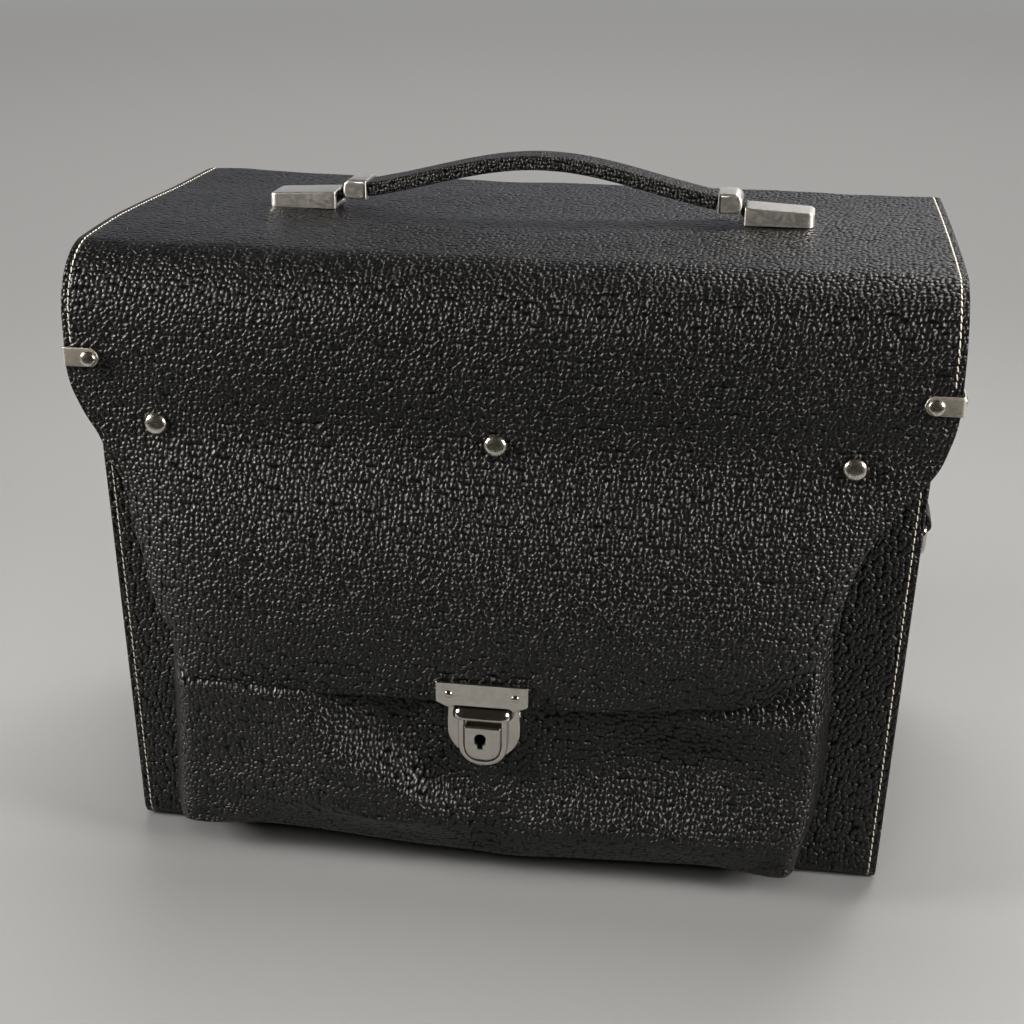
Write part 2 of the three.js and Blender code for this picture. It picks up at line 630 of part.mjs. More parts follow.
/** The slide: a U frame round the keyhole panel, with the thumb ledge across its top. */
function lockSlide() {
  const { halfWidth, rim, bottom, top, thick } = SLIDE;
  const inner = halfWidth - rim;
  const frame = uOutline(halfWidth, top, bottom);
  const frameWindow = new THREE.Path()
    .moveTo(LOCK_X - inner, SLIDE.windowTop)
    .lineTo(LOCK_X - inner, bottom + halfWidth)
    .absarc(LOCK_X, bottom + halfWidth, inner, Math.PI, Math.PI * 2)
    .lineTo(LOCK_X + inner, SLIDE.windowTop)
    .lineTo(LOCK_X - inner, SLIDE.windowTop);
  frame.holes.push(frameWindow);
  const plate = plateFacingFront(frame, LOCK_FACE_Y, thick, 8);
  const { round, reach } = LEDGE;
  const ledgePlan = new THREE.Shape()
    .moveTo(LOCK_X - LEDGE.halfWidth, 0)
    .lineTo(LOCK_X + LEDGE.halfWidth, 0)
    .lineTo(LOCK_X + LEDGE.halfWidth, reach - round)
    .absarc(LOCK_X + LEDGE.halfWidth - round, reach - round, round, 0, Math.PI / 2)
    .lineTo(LOCK_X - LEDGE.halfWidth + round, reach)
    .absarc(LOCK_X - LEDGE.halfWidth + round, reach - round, round, Math.PI / 2, Math.PI);
  const ledge = new THREE.ExtrudeGeometry(ledgePlan, {
    depth: LEDGE.top - LEDGE.bottom,
    curveSegments: 5,
    bevelEnabled: false,
  });
  ledge.applyMatrix4(new THREE.Matrix4().makeScale(1, -1, 1)).translate(0, LOCK_FACE_Y, LEDGE.bottom);
  return join(plate, ledge);
}

// Clips and rivets

/** A corner clip: a round-ended leg on the lid's front, bent round the hood's edge to a leg on the wing. */
function cornerClip(side) {
  const { inner, outer, bottom, top, thick, sideReach } = CLIP;
  const middle = (bottom + top) / 2;
  const half = (top - bottom) / 2;
  const backY = LID_FRONT_Y - FIT;
  const leg = (from, to) => new THREE.Shape()
    .moveTo(from, bottom)
    .lineTo(from, top)
    .lineTo(to + half, top)
    .absarc(to + half, middle, half, Math.PI / 2, Math.PI * 1.5)
    .lineTo(from, bottom);
  const front = plateFacingFront(leg(outer, inner), backY, thick, 8);
  const sideLeg = leg(sideReach + thick, 0);
  const reach = new THREE.ExtrudeGeometry(sideLeg, { depth: thick, curveSegments: 8, bevelEnabled: false });
  const turn = new THREE.Matrix4().set(
    0, 0, 1, outer - thick,
    -1, 0, 0, backY + sideReach,
    0, 1, 0, 0,
    0, 0, 0, 1,
  );
  reach.applyMatrix4(turn);
  const whole = join(front, reach);
  return side < 0 ? mirrored(whole) : whole;
}

// Handle

/** The grip: a rounded strap section along an arch, the mean of a parabola and a raised cosine. */
function handleGrip() {
  const { half, width, thick, endZ, rise, round, steps } = GRIP;
  const height = (s) => endZ + (rise * (1 - s * s + (1 + Math.cos(Math.PI * s)) / 2)) / 2;
  const slope = (s) => (-rise * (s + (Math.PI / 4) * Math.sin(Math.PI * s))) / half;
  const section = roundedRectangle(0, 0, width, thick, round).extractPoints(2).shape
    .filter((p, k, all) => p.distanceTo(all[(k + 1) % all.length]) > MERGE);
  const rings = Array.from({ length: steps + 1 }, (_, k) => {
    const s = lerp(-1, 1, k / steps);
    const tilt = k % steps === 0 ? 0 : Math.atan(slope(s));
    return section.map((p) => point(s * half - p.y * Math.sin(tilt), p.x, height(s) + p.y * Math.cos(tilt)));
  });
  return loft(rings);
}

/** A cap over the grip's end: a box with a round outer end, drawn from the grip outwards along +X. */
function handleCap() {
  const { length, width, height, round } = CAP;
  const shape = new THREE.Shape()
    .moveTo(0, -height / 2)
    .lineTo(length - round, -height / 2)
    .absarc(length - round, -height / 2 + round, round, -Math.PI / 2, 0)
    .lineTo(length, height / 2 - round)
    .absarc(length - round, height / 2 - round, round, 0, Math.PI / 2)
    .lineTo(0, height / 2);
  const geometry = new THREE.ExtrudeGeometry(shape, { depth: width, curveSegments: 5, bevelEnabled: false });
  return geometry.rotateX(Math.PI / 2).translate(0, width / 2, 0);
}

/** A box bracket with rounded corners, slotted at its inner end for the tongue, drawn outwards along +X. */
function handleBracket() {
  const { length, width, height, round, edge } = BRACKET;
  const box = new THREE.ExtrudeGeometry(roundedRectangle(length / 2, 0, length, width, round), {
    depth: height - edge,
    curveSegments: 4,
    bevelEnabled: true,
    bevelSize: edge,
    bevelThickness: edge,
    bevelOffset: -edge,
    bevelSegments: 2,
  });
  const overcut = 1;
  const floor = new THREE.BoxGeometry(length + 2 * overcut, width + 2 * overcut, 2 * edge);
  floor.translate(length / 2, 0, -edge);
  const slotLength = TONGUE.reach + 2 * overcut;
  const slot = new THREE.BoxGeometry(slotLength, TONGUE.width + 4 * FIT, TONGUE.thick + 4 * FIT);
  slot.translate(slotLength / 2 - overcut, 0, TONGUE.z);
  return cut(cut(box, floor), slot);
}

/** The tongue between a cap and its bracket: a flat strip that bends down from the cap into the slot. */
function handleTongue(fromX, fromZ, toX, toZ, endX) {
  const path = [[fromX, fromZ], [lerp(fromX, toX, 0.5), lerp(fromZ, toZ, 0.5)], [toX, toZ], [endX, toZ]];
  const rings = path.map(([x, z]) => [
    point(x, -TONGUE.width / 2, z - TONGUE.thick / 2),
    point(x, TONGUE.width / 2, z - TONGUE.thick / 2),
    point(x, TONGUE.width / 2, z + TONGUE.thick / 2),
    point(x, -TONGUE.width / 2, z + TONGUE.thick / 2),
  ]);
  return loft(rings);
}

// Strap rings

/** The D-ring's wire along its closed path: a straight bar on top, round corners and a half ellipse below. */
function ringWire() {
  const { halfWidth, drop, wire, corner, sides } = RING;
  const path = [];
  const bowSteps = 14;
  for (let k = 0; k <= bowSteps; k += 1) {
    const angle = lerp(Math.PI, Math.PI * 2, k / bowSteps);
    path.push([halfWidth * Math.cos(angle), -corner + (drop - corner) * Math.sin(angle)]);
  }
  const cornerSteps = 3;
  for (let k = 1; k <= cornerSteps; k += 1) {
    const angle = lerp(0, Math.PI / 2, k / cornerSteps);
    path.push([halfWidth - corner + corner * Math.cos(angle), -corner + corner * Math.sin(angle)]);
  }
  for (let k = 0; k < cornerSteps; k += 1) {
    const angle = lerp(Math.PI / 2, Math.PI, k / cornerSteps);
    path.push([-halfWidth + corner + corner * Math.cos(angle), -corner + corner * Math.sin(angle)]);
  }
  const rings = path.map(([y, z], k) => {
    const [y0, z0] = path[(k - 1 + path.length) % path.length];
    const [y1, z1] = path[(k + 1) % path.length];
    const out = new THREE.Vector2(z1 - z0, y0 - y1).normalize();
    return Array.from({ length: sides }, (_, i) => {
      const angle = (i / sides) * Math.PI * 2;
      const away = wire * Math.cos(angle);
      return point(wire * Math.sin(angle), y + out.x * away, z + out.y * away);
    });
  });
  return loft(rings, true);
}

/** The chape: a doubled strap whose fold holds the ring's bar, extruded across its width. */
function chape() {
  const { width, top, layer, endRound, neckLow, neckHigh } = CHAPE;
  const hole = RING.wire + FIT;
  const loop = hole + layer;
  const height = top - RING.z;
  const shape = new THREE.Shape()
    .moveTo(-loop, height)
    .lineTo(-loop, 0)
    .absarc(0, 0, loop, Math.PI, Math.PI * 2)
    .lineTo(loop, neckLow)
    .lineTo(-loop + 2 * layer, neckHigh)
    .lineTo(-loop + 2 * layer, height - endRound)
    .lineTo(-loop + 2 * layer - endRound, height);
  shape.holes.push(new THREE.Path().absarc(0, 0, hole, 0, Math.PI * 2));
  const geometry = new THREE.ExtrudeGeometry(shape, { depth: width, curveSegments: 8, bevelEnabled: false });
  return geometry.rotateX(Math.PI / 2).translate(0, width / 2, 0);
}

// Assembly

/** A named piece of the case with its own material. */
function piece(name, geometry, finish) {
  const mesh = new THREE.Mesh(geometry, new THREE.MeshStandardMaterial(MATERIALS[finish]));
  mesh.name = name;
  return mesh;
}

const cameraCase = new THREE.Group();
const sides = [{ name: 'left', sign: -1 }, { name: 'right', sign: 1 }];

cameraCase.add(piece('body_wrap', bodyWrap(), 'leather'));
cameraCase.add(piece('front_pocket', frontPocket(), 'leather'));
cameraCase.add(piece('lid', lid(), 'leather'));

const handle = new THREE.Group();
const topSlope = (lidTop(HANDLE_Y + 1) - lidTop(HANDLE_Y - 1)) / 2;
handle.position.set(0, HANDLE_Y, lidTop(HANDLE_Y) + FIT);
handle.rotation.x = Math.atan(topSlope);
cameraCase.add(handle);

const grip = piece('handle_grip', handleGrip(), 'leather');
grip.position.x = HANDLE_X;
handle.add(grip);

for (const { name, sign } of sides) {
  cameraCase.add(piece(`side_${name}`, sidePanel(sign), 'leather'));
  cameraCase.add(piece(`lid_wing_${name}`, lidWing(sign), 'leather'));
  cameraCase.add(piece(`corner_clip_${name}`, cornerClip(sign), 'nickel'));

  const clipRivet = piece(`clip_rivet_${name}`, dome(CLIP_RIVET.radius, CLIP_RIVET.height), 'nickel');
  clipRivet.position.set(sign * CLIP_RIVET.x, LID_FRONT_Y - 2 * FIT - CLIP.thick, CLIP_RIVET.z);
  cameraCase.add(clipRivet);

  const sideDome = dome(CLIP_SIDE_RIVET.radius, CLIP_SIDE_RIVET.height);
  const sideRivet = piece(`clip_side_rivet_${name}`, sideDome, 'nickel');
  sideRivet.rotation.z = (sign * Math.PI) / 2;
  sideRivet.position.set(sign * (CLIP.outer + FIT), CLIP_SIDE_RIVET.y, CLIP_RIVET.z);
  cameraCase.add(sideRivet);

  const gripEnd = HANDLE_X * sign + GRIP.half;
  const end = new THREE.Group();
  end.rotation.z = sign > 0 ? 0 : Math.PI;
  handle.add(end);
  const cap = piece(`handle_cap_${name}`, handleCap(), 'chrome');
  cap.position.set(gripEnd + FIT, 0, GRIP.endZ);
  end.add(cap);
  const bracket = piece(`handle_bracket_${name}`, handleBracket(), 'chrome');
  bracket.position.x = BRACKET.inner;
  end.add(bracket);
  const capEnd = gripEnd + CAP.length + 2 * FIT;
  const slotEnd = BRACKET.inner + TONGUE.reach;
  const tongue = handleTongue(capEnd, GRIP.endZ, BRACKET.inner - FIT, TONGUE.z, slotEnd);
  end.add(piece(`handle_tongue_${name}`, tongue, 'leather'));

  const ringX = bodyHalf(CHAPE.top) - SIDE_INSET + SIDE_BOW + FIT + CHAPE.layer + RING.wire;
  const loop = piece(`chape_${name}`, chape(), 'leather');
  loop.position.set(sign * ringX, (FRONT_Y + BACK_Y) / 2, RING.z);
  loop.rotation.z = sign > 0 ? 0 : Math.PI;
  cameraCase.add(loop);
  const ring = piece(`d_ring_${name}`, ringWire(), 'nickel');
  ring.position.set(sign * ringX, (FRONT_Y + BACK_Y) / 2, RING.z);
  cameraCase.add(ring);

  const pin = piece(`hasp_pin_${name}`, dome(HASP_PIN.radius, HASP_PIN.height), 'nickel');
  pin.position.set(LOCK_X + sign * HASP_PIN.x, HASP_BACK_Y - HASP_THICK - FIT, HASP_PIN.z);
  cameraCase.add(pin);
}

for (const [name, { x, z }] of Object.entries(FLAP_RIVETS)) {
  const rivet = piece(`flap_rivet_${name}`, dome(RIVET.radius, RIVET.height), 'nickel');
  rivet.position.set(x, flapY(x, z) - RIVET.seat, z);
  cameraCase.add(rivet);
}

cameraCase.add(piece('lock_hasp', lockHasp(), 'nickel'));
cameraCase.add(piece('lock_base', lockBase(), 'nickel'));
cameraCase.add(piece('lock_keyplate', lockKeyplate(), 'nickel'));
cameraCase.add(piece('lock_slide', lockSlide(), 'nickel'));

export default cameraCase;
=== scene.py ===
import bpy
import numpy as np
from mathutils import Matrix


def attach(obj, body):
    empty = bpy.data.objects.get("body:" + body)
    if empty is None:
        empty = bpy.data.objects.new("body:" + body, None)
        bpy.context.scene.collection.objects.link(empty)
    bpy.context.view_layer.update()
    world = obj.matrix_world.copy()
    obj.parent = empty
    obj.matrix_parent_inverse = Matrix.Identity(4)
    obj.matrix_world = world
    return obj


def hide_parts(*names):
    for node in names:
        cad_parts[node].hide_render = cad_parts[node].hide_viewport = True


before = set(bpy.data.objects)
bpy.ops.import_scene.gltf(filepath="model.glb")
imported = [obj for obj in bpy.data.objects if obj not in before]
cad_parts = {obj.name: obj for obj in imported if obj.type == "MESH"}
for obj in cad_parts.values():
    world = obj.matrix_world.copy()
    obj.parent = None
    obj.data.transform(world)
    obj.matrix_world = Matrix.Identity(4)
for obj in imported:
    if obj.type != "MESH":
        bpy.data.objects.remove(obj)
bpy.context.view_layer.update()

# The stage: a wide pale floor that fades into a plain backdrop, and a camera at the photograph's angle. Two
# soft boxes stand far out at the sides and a weaker one behind, in a dark room with pale paper at the back.
# Two wide fills and the floor's front sheet aren't mirrored in the case. All sizes here are millimetres.
MM = 0.001
CAMERA_TURN, CAMERA_RISE, CAMERA_ROLL = np.radians([8.87, 22.0, 0.3])
CAMERA_TARGET = np.array([-10.79, 0.0, 123.81])
CAMERA_DISTANCE, CAMERA_LENS = 887.88, 65.47
LAMPS = {
    # turn and rise in degrees, distance, size, watts, spread in degrees, mirrored in the case
    "soft_box_left": (-75, 22, 1300, 420, 4.6, 80, True),
    "soft_box_right": (75, 21, 1300, 420, 4.6, 80, True),
    "soft_box_back": (150, 40, 1500, 420, 1.8, 80, True),
    "back_fill": (180, 62, 3800, 2600, 310.0, 180, False),
    "front_fill": (0, 50, 3800, 2600, 110.0, 180, False),
}
LAMP_TARGET = np.array([0.0, -90.0, 150.0])
LAMP_COLOUR = (1.0, 0.95, 0.88)
ROOM_GLOW, PAPER_GLOW = (0.030, 0.027, 0.023, 1), (0.50, 0.515, 0.56, 1)
PAPER_RISE, PAPER_BACK = (0.55, 0.15), (0.0, 0.6)
BACKDROP_GLOW = (0.36, 0.36, 0.355, 1)
BACKDROP_FROM, BACKDROP_TO = 1700, 4200
FLOOR_COLOUR, FLOOR_ROUGHNESS = (0.166, 0.170, 0.177, 1), 0.8
FLOOR_HALF, FLOOR_SPLIT = 15000, -350
FLOOR_SHEETS = {"floor": (FLOOR_SPLIT, FLOOR_HALF), "floor_front": (-FLOOR_HALF, FLOOR_SPLIT)}


def unit(vectors):
    """Each vector divided by its own length."""
    return vectors / np.maximum(np.linalg.norm(vectors, axis=-1, keepdims=True), 1e-12)


def outward(turn, rise):
    """Direction from the case to a point in front of it, turned to the right and raised by these angles."""
    return np.array([np.sin(turn) * np.cos(rise), -np.cos(turn) * np.cos(rise), np.sin(rise)])


def aimed(back, place, roll=0.0):
    """Matrix of a camera or light at a place that looks against the direction back, rolled about it."""
    level = unit(np.cross([0, 0, 1], back))
    above = np.cross(back, level)
    side = np.cos(roll) * level + np.sin(roll) * above
    top = np.cos(roll) * above - np.sin(roll) * level
    return Matrix.Translation(place * MM) @ Matrix(np.column_stack([side, top, back]).tolist()).to_4x4()


def add_object(name, data):
    """A new object with this data, in the scene."""
    made = bpy.data.objects.new(name, data)
    bpy.context.scene.collection.objects.link(made)
    return made


def feed(tree, made, inputs):
    """Sets each named input of a shader node to a value, or links it to a socket."""
    for key, value in inputs.items():
        if isinstance(value, bpy.types.NodeSocket):
            tree.links.new(value, made.inputs[key])
        else:
            made.inputs[key].default_value = value


def node(tree, kind, inputs=None, **settings):
    """A new shader node of a kind, with its options and inputs set."""
    made = tree.nodes.new("ShaderNode" + kind)
    for key, value in settings.items():
        setattr(made, key, value)
    feed(tree, made, inputs or {})
    return made


def math_node(tree, operation, *values, kind="Math", **settings):
    """Result of a math node on up to three values or sockets."""
    return node(tree, kind, dict(enumerate(values)), operation=operation, **settings).outputs[0]


def graded(tree, value, start, end, low=0.0, high=1.0, **settings):
    """A value's place between start and end, as a value from low to high."""
    inputs = {"Value": value, "From Min": start, "From Max": end, "To Min": low, "To Max": high}
    return node(tree, "MapRange", inputs, **settings).outputs["Result"]


def mixed(tree, share, first, second):
    """The first colour turning into the second as the share rises from 0 to 1."""
    inputs = {"Factor": share, "A": first, "B": second}
    return node(tree, "Mix", inputs, data_type="RGBA").outputs["Result"]


def new_material(name):
    """A new material: the material, its node tree and its shader."""
    material = bpy.data.materials.new(name)
    material.use_nodes = True
    return material, material.node_tree, material.node_tree.nodes["Principled BSDF"]


camera_data = bpy.data.cameras.new("camera")
camera_data.lens = CAMERA_LENS
camera = add_object("camera", camera_data)
camera_back = outward(CAMERA_TURN, CAMERA_RISE)
camera.matrix_world = aimed(camera_back, CAMERA_TARGET + CAMERA_DISTANCE * camera_back, CAMERA_ROLL)
bpy.context.scene.camera = camera
bpy.context.scene.view_settings.view_transform = "Standard"

for lamp_name, (turn, rise, away, size, watts, spread, mirrored) in LAMPS.items():
    lamp_data = bpy.data.lights.new(lamp_name, "AREA")
    lamp_data.size = size * MM
    lamp_data.energy = watts
    lamp_data.spread = np.radians(spread)
    lamp_data.color = LAMP_COLOUR
    lamp_back = outward(*np.radians([turn, rise]))
    lamp = add_object(lamp_name, lamp_data)
    lamp.matrix_world = aimed(lamp_back, LAMP_TARGET + away * lamp_back)
    lamp.visible_glossy = mirrored

world = bpy.data.worlds.new("dark_room")
world.use_nodes = True
sky_tree = world.node_tree
toward = node(sky_tree, "SeparateXYZ", {0: node(sky_tree, "TexCoord").outputs["Generated"]}).outputs
paper_low = graded(sky_tree, toward["Z"], *PAPER_RISE, interpolation_type="SMOOTHSTEP")
paper_back = graded(sky_tree, toward["Y"], *PAPER_BACK, interpolation_type="SMOOTHSTEP")
room = mixed(sky_tree, math_node(sky_tree, "MULTIPLY", paper_low, paper_back), ROOM_GLOW, PAPER_GLOW)
seen = node(sky_tree, "LightPath").outputs["Is Camera Ray"]
feed(sky_tree, sky_tree.nodes["Background"], {"Color": mixed(sky_tree, seen, room, BACKDROP_GLOW)})
bpy.context.scene.world = world

floor_paper, floor_tree, floor_shader = new_material("floor_paper")
feed(floor_tree, floor_shader, {"Base Color": FLOOR_COLOUR, "Roughness": FLOOR_ROUGHNESS})
floor_place = node(floor_tree, "TexCoord").outputs["Object"]
floor_reach = node(floor_tree, "VectorMath", {0: floor_place}, operation="LENGTH").outputs["Value"]
far = graded(floor_tree, floor_reach, BACKDROP_FROM * MM, BACKDROP_TO * MM, interpolation_type="SMOOTHSTEP")
far_seen = math_node(floor_tree, "MULTIPLY", far, node(floor_tree, "LightPath").outputs["Is Camera Ray"])
glow = node(floor_tree, "Emission", {"Color": BACKDROP_GLOW}).outputs[0]
faded = node(floor_tree, "MixShader", {0: far_seen, 1: floor_shader.outputs[0], 2: glow}).outputs[0]
feed(floor_tree, floor_tree.nodes["Material Output"], {"Surface": faded})
for sheet_name, (near_y, far_y) in FLOOR_SHEETS.items():
    sheet_corners = np.array([(-FLOOR_HALF, near_y, 0), (FLOOR_HALF, near_y, 0),
                              (FLOOR_HALF, far_y, 0), (-FLOOR_HALF, far_y, 0)])
    sheet_mesh = bpy.data.meshes.new(sheet_name)
    sheet_mesh.from_pydata((sheet_corners * MM).tolist(), [], [(0, 1, 2, 3)])
    sheet_mesh.materials.append(floor_paper)
    sheet = add_object(sheet_name, sheet_mesh)
    sheet.visible_glossy = sheet_name == "floor"

# The wrap: front, base and back of the box in one panel of black pebbled cowhide, bent round the base.
# Its two side edges are cut square and sewn to the side panels, a few millimetres in from the cut.
LEATHER = 2.5
FRONT_Y, BACK_Y = -99.3, 96.5
FRONT_TOP_Z, BACK_TOP_Z = 240.0, 254.0
BASE_HALF_WIDTH, WIDENING = 166.7, 0.035
RIGHT_OVERHANG = 0.0065
BASE_BEND = 8.0
ROW_STEP, BASE_STEP = 3.0, 6.0
SEAM_INSET, SEAM_GROOVE, SEAM_WIDTH = 2.8, 0.2, 1.1
CUT_EDGE, CUT_STEPS = 0.5, 3
LEAN_REACH, LEAN_LENGTH, LEAN_FROM = 15.0, 150.0, 5.0
WRAP_WAVE, WRAP_WAVE_LENGTH = 0.3, 55
WAVE_RISE, WAVE_INSET = 40, 25
WAVES = 7
PEBBLE_WIDE, PEBBLE_LONG = 0.97, 1.03
PEBBLE_SWAY, PEBBLE_SWAY_SCALE, PEBBLE_DISORDER = 0.8, 0.5, 0.75
PEBBLE_STEEPNESS, PEBBLE_CREASE = 2.6, 0.265
FINE_GRAIN, FINE_SCALE, WEAR_SCALE = 0.04, 4.5, 0.035
# Leather colours: the crest colour is the leather's own, paler with wear; the darker crease colour is painted
# shade, and so is the creases' lower shine below.
HIDE_CREASE_SHADE, HIDE_CREST = (0.0006, 0.0007, 0.0010, 1), (0.0023, 0.0023, 0.0024, 1)
CREASE_MATT, CREASE_SHADE_SHINE, CREST_SHINE = 0.12, 0.14, 0.46
SHINE_FROM, SHINE_TO = -0.3, 0.3
FLESH_COLOUR, FLESH_MATT = (0.055, 0.042, 0.032, 1), 0.5
FLESH_FROM, FLESH_TO = -0.88, -0.99


def noise(tree, place, scale, detail, output="Fac", **settings):
    """Cloudy noise over a place."""
    inputs = {"Vector": place, "Scale": scale, "Detail": detail}
    return node(tree, "TexNoise", inputs, **settings).outputs[output]


def pebbled_leather(name, pebble, relief, roughness):
    """Black leather whose grain is cells of one pebble's size, drawn out along the hide. Each is flat on its
    crest, where wear leaves it paler, and steep towards the creases, which are darkened with painted shade
    and also get painted shade in their reflection, as a lower specular level. The attribute hide is the place
    on the flat hide in millimetres. The attribute grain is 1 on the grain side, 0 at a cut edge, which is
    smooth and black, and -1 on the brown flesh side."""
    material, tree, shader = new_material(name)
    place = node(tree, "Attribute", attribute_name="hide").outputs["Vector"]
    side = node(tree, "Attribute", attribute_name="grain").outputs["Fac"]
    pebble_size = (PEBBLE_WIDE * pebble, PEBBLE_LONG * pebble, 1)
    drawn = node(tree, "Mapping", {"Vector": place, "Scale": pebble_size}, vector_type="TEXTURE").outputs[0]
    wander = noise(tree, drawn, PEBBLE_SWAY_SCALE, 2.0, "Color", noise_dimensions="2D")
    centred = math_node(tree, "SUBTRACT", wander, (0.5, 0.5, 0.5), kind="VectorMath")
    warped = math_node(tree, "MULTIPLY_ADD", centred, (PEBBLE_SWAY,) * 3, drawn, kind="VectorMath")
    cells = node(tree, "TexVoronoi", {"Vector": warped, "Scale": 1.0, "Randomness": PEBBLE_DISORDER},
                 feature="F1", voronoi_dimensions="2D")
    falling = math_node(tree, "POWER", cells.outputs["Distance"], PEBBLE_STEEPNESS)
    domes = graded(tree, falling, PEBBLE_CREASE, 0.0, clamp=False)
    fine = noise(tree, drawn, FINE_SCALE, 2.0, noise_dimensions="2D")
    # Wear noise on the crests times the pebble height, so the creases darken as painted shade.
    crest_wear_and_crease_shade = math_node(tree, "MULTIPLY", domes, noise(tree, drawn, WEAR_SCALE, 3.0, noise_dimensions="2D"))
    height = math_node(tree, "MULTIPLY_ADD", fine, FINE_GRAIN, domes)
    grain = node(tree, "Clamp", {"Value": side}).outputs[0]
    bump = node(tree, "Bump", {"Strength": grain, "Distance": relief * MM, "Height": height})
    flesh = graded(tree, side, FLESH_FROM, FLESH_TO)
    gloss = graded(tree, crest_wear_and_crease_shade, 0.0, 1.0, roughness + CREASE_MATT, roughness)
    feed(tree, shader, {
        "Base Color": mixed(tree, flesh, mixed(tree, crest_wear_and_crease_shade, HIDE_CREASE_SHADE, HIDE_CREST), FLESH_COLOUR),
        "Roughness": math_node(tree, "MULTIPLY_ADD", flesh, FLESH_MATT, gloss),
        "Specular IOR Level": graded(tree, domes, SHINE_FROM, SHINE_TO, CREASE_SHADE_SHINE, CREST_SHINE),
        "Normal": bump.outputs["Normal"],
    })
    return material


def surface(x, y, z):
    """Points from three coordinates, each spread over the whole grid."""
    return np.stack(np.broadcast_arrays(x, y, z), axis=-1)


def run_length(points, axis=0):
    """Length along each line of points from its first one."""
    steps = np.linalg.norm(np.diff(points, axis=axis), axis=-1)
    return np.insert(np.cumsum(steps, axis=axis), 0, 0, axis=axis)


def grid_normals(points):
    """Unit normals of a grid of points: the cross product of its two slopes."""
    return unit(np.cross(np.gradient(points, axis=1), np.gradient(points, axis=0)))


def numbered(points):
    """Vertex numbers of a grid of points."""
    return np.arange(points[..., 0].size).reshape(points.shape[:-1])


def grid_faces(index):
    """Quads between neighbouring entries of a grid of vertex numbers."""
    corners = [index[:-1, :-1], index[:-1, 1:], index[1:, 1:], index[1:, :-1]]
    return np.stack(corners, axis=-1).reshape(-1, 4)


def flat_hide(points):
    """Place of a grid's points on the flat hide: the length along each row from the middle column, and the
    length along the middle column. The grain leans over and back along the hide in a slow wave."""
    middle = points.shape[1] // 2
    step = np.diff(points[:, middle], axis=0)
    sideways = (step * unit(points[:-1, middle + 1] - points[:-1, middle - 1])).sum(1)
    shift = np.pad(np.cumsum(sideways), (1, 0))
    along = np.pad(np.cumsum(np.sqrt(np.maximum((step ** 2).sum(1) - sideways ** 2, 0))), (1, 0))
    wave = np.sin(2 * np.pi * (along - LEAN_FROM) / LEAN_LENGTH) / (2 * np.pi)
    lean = LEAN_REACH * (along / LEAN_LENGTH + wave)
    across = run_length(points, 1)
    across = across - across[:, middle:middle + 1] + (shift - lean)[:, None]
    return np.dstack([across, np.broadcast_to(along[:, None], across.shape)])


def leather_shell(points, thickness):
    """Closed leather sheet over an outer grid. Past each border the cut edge turns in as half an ellipse, and
    the flesh side lies one thickness behind along the normals. The second result is 1 on the grain side,
    0 at the edge and -1 on the flesh side. The third is the place on the flat hide."""
    rows, columns = points.shape[:2]
    past_row = np.arange(-CUT_STEPS, rows + CUT_STEPS)
    past_column = np.arange(-CUT_STEPS, columns + CUT_STEPS)
    row, column = np.clip(past_row, 0, rows - 1), np.clip(past_column, 0, columns - 1)
    pick = np.ix_(row, column)
    turn_row = np.abs(past_row - row)[:, None, None] / CUT_STEPS * (np.pi / 2)
    turn_column = np.abs(past_column - column)[:, None] / CUT_STEPS * (np.pi / 2)
    turn = np.maximum(turn_row, turn_column)
    first_row, last_row = unit(points[0] - points[1]), unit(points[-1] - points[-2])
    first_column, last_column = unit(points[:, :1] - points[:, 1:2]), unit(points[:, -1:] - points[:, -2:-1])
    off_row = np.where(past_row[:, None, None] < 0, first_row[column], last_row[column])
    off_column = np.where(past_column[:, None] < 0, first_column[row], last_column[row])
    spread = points[pick] + CUT_EDGE * (np.sin(turn_row) * off_row + np.sin(turn_column) * off_column)
    half = np.broadcast_to(np.asarray(thickness, float) / 2, (rows, columns))[pick][..., None]
    inward = grid_normals(points)[pick] * half
    outer = spread - inward * (1 - np.cos(turn))
    inside = (spread - inward * (1 + np.cos(turn)))[1:-1, 1:-1]
    outer_index, inner_index = numbered(outer), numbered(outer)
    inner_index[1:-1, 1:-1] = outer_index.size + numbered(inside)
    vertices = np.vstack([outer.reshape(-1, 3), inside.reshape(-1, 3)])
    faces = np.vstack([grid_faces(outer_index), grid_faces(inner_index)[:, ::-1]])
    facing = np.cos(turn[..., 0])
    grain = np.concatenate([facing.ravel(), -facing[1:-1, 1:-1].ravel()])
    hide = flat_hide(points)[pick]
    hide = np.vstack([hide.reshape(-1, 2), hide[1:-1, 1:-1].reshape(-1, 2)])
    return (vertices, faces.tolist()), grain, hide


def add_piece(name, solid, material, replaced=None, body="case", grain=None, hide=None):
    """A smooth-shaded piece from points in millimetres and faces, riding on a body in place of a CAD node."""
    points, faces = solid
    mesh = bpy.data.meshes.new(name)
    mesh.from_pydata((points * MM).tolist(), [], faces)
    mesh.shade_smooth()
    mesh.materials.append(material)
    if grain is not None:
        mesh.attributes.new("grain", "FLOAT", "POINT").data.foreach_set("value", grain.astype(np.float32))
        flat = np.column_stack([hide, 0 * grain]).astype(np.float32)
        mesh.attributes.new("hide", "FLOAT_VECTOR", "POINT").data.foreach_set("vector", flat.ravel())
    piece = add_object(name, mesh)
    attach(piece, body)
    if replaced:
        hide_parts(replaced)
    return piece


def add_leather(name, points, thickness, replaced):
    """A piece of the body's leather over an outer grid, in place of a CAD node."""
    solid, grain, hide = leather_shell(points, thickness)
    add_piece(name, solid, body_leather, replaced, grain=grain, hide=hide)


def arc(centre, radius, start, end, steps):
    """Points of a circle's arc in a plane, between two angles in degrees."""
    angle = np.radians(np.linspace(start, end, steps))
    return np.column_stack([centre[0] + radius * np.cos(angle), centre[1] + radius * np.sin(angle)])


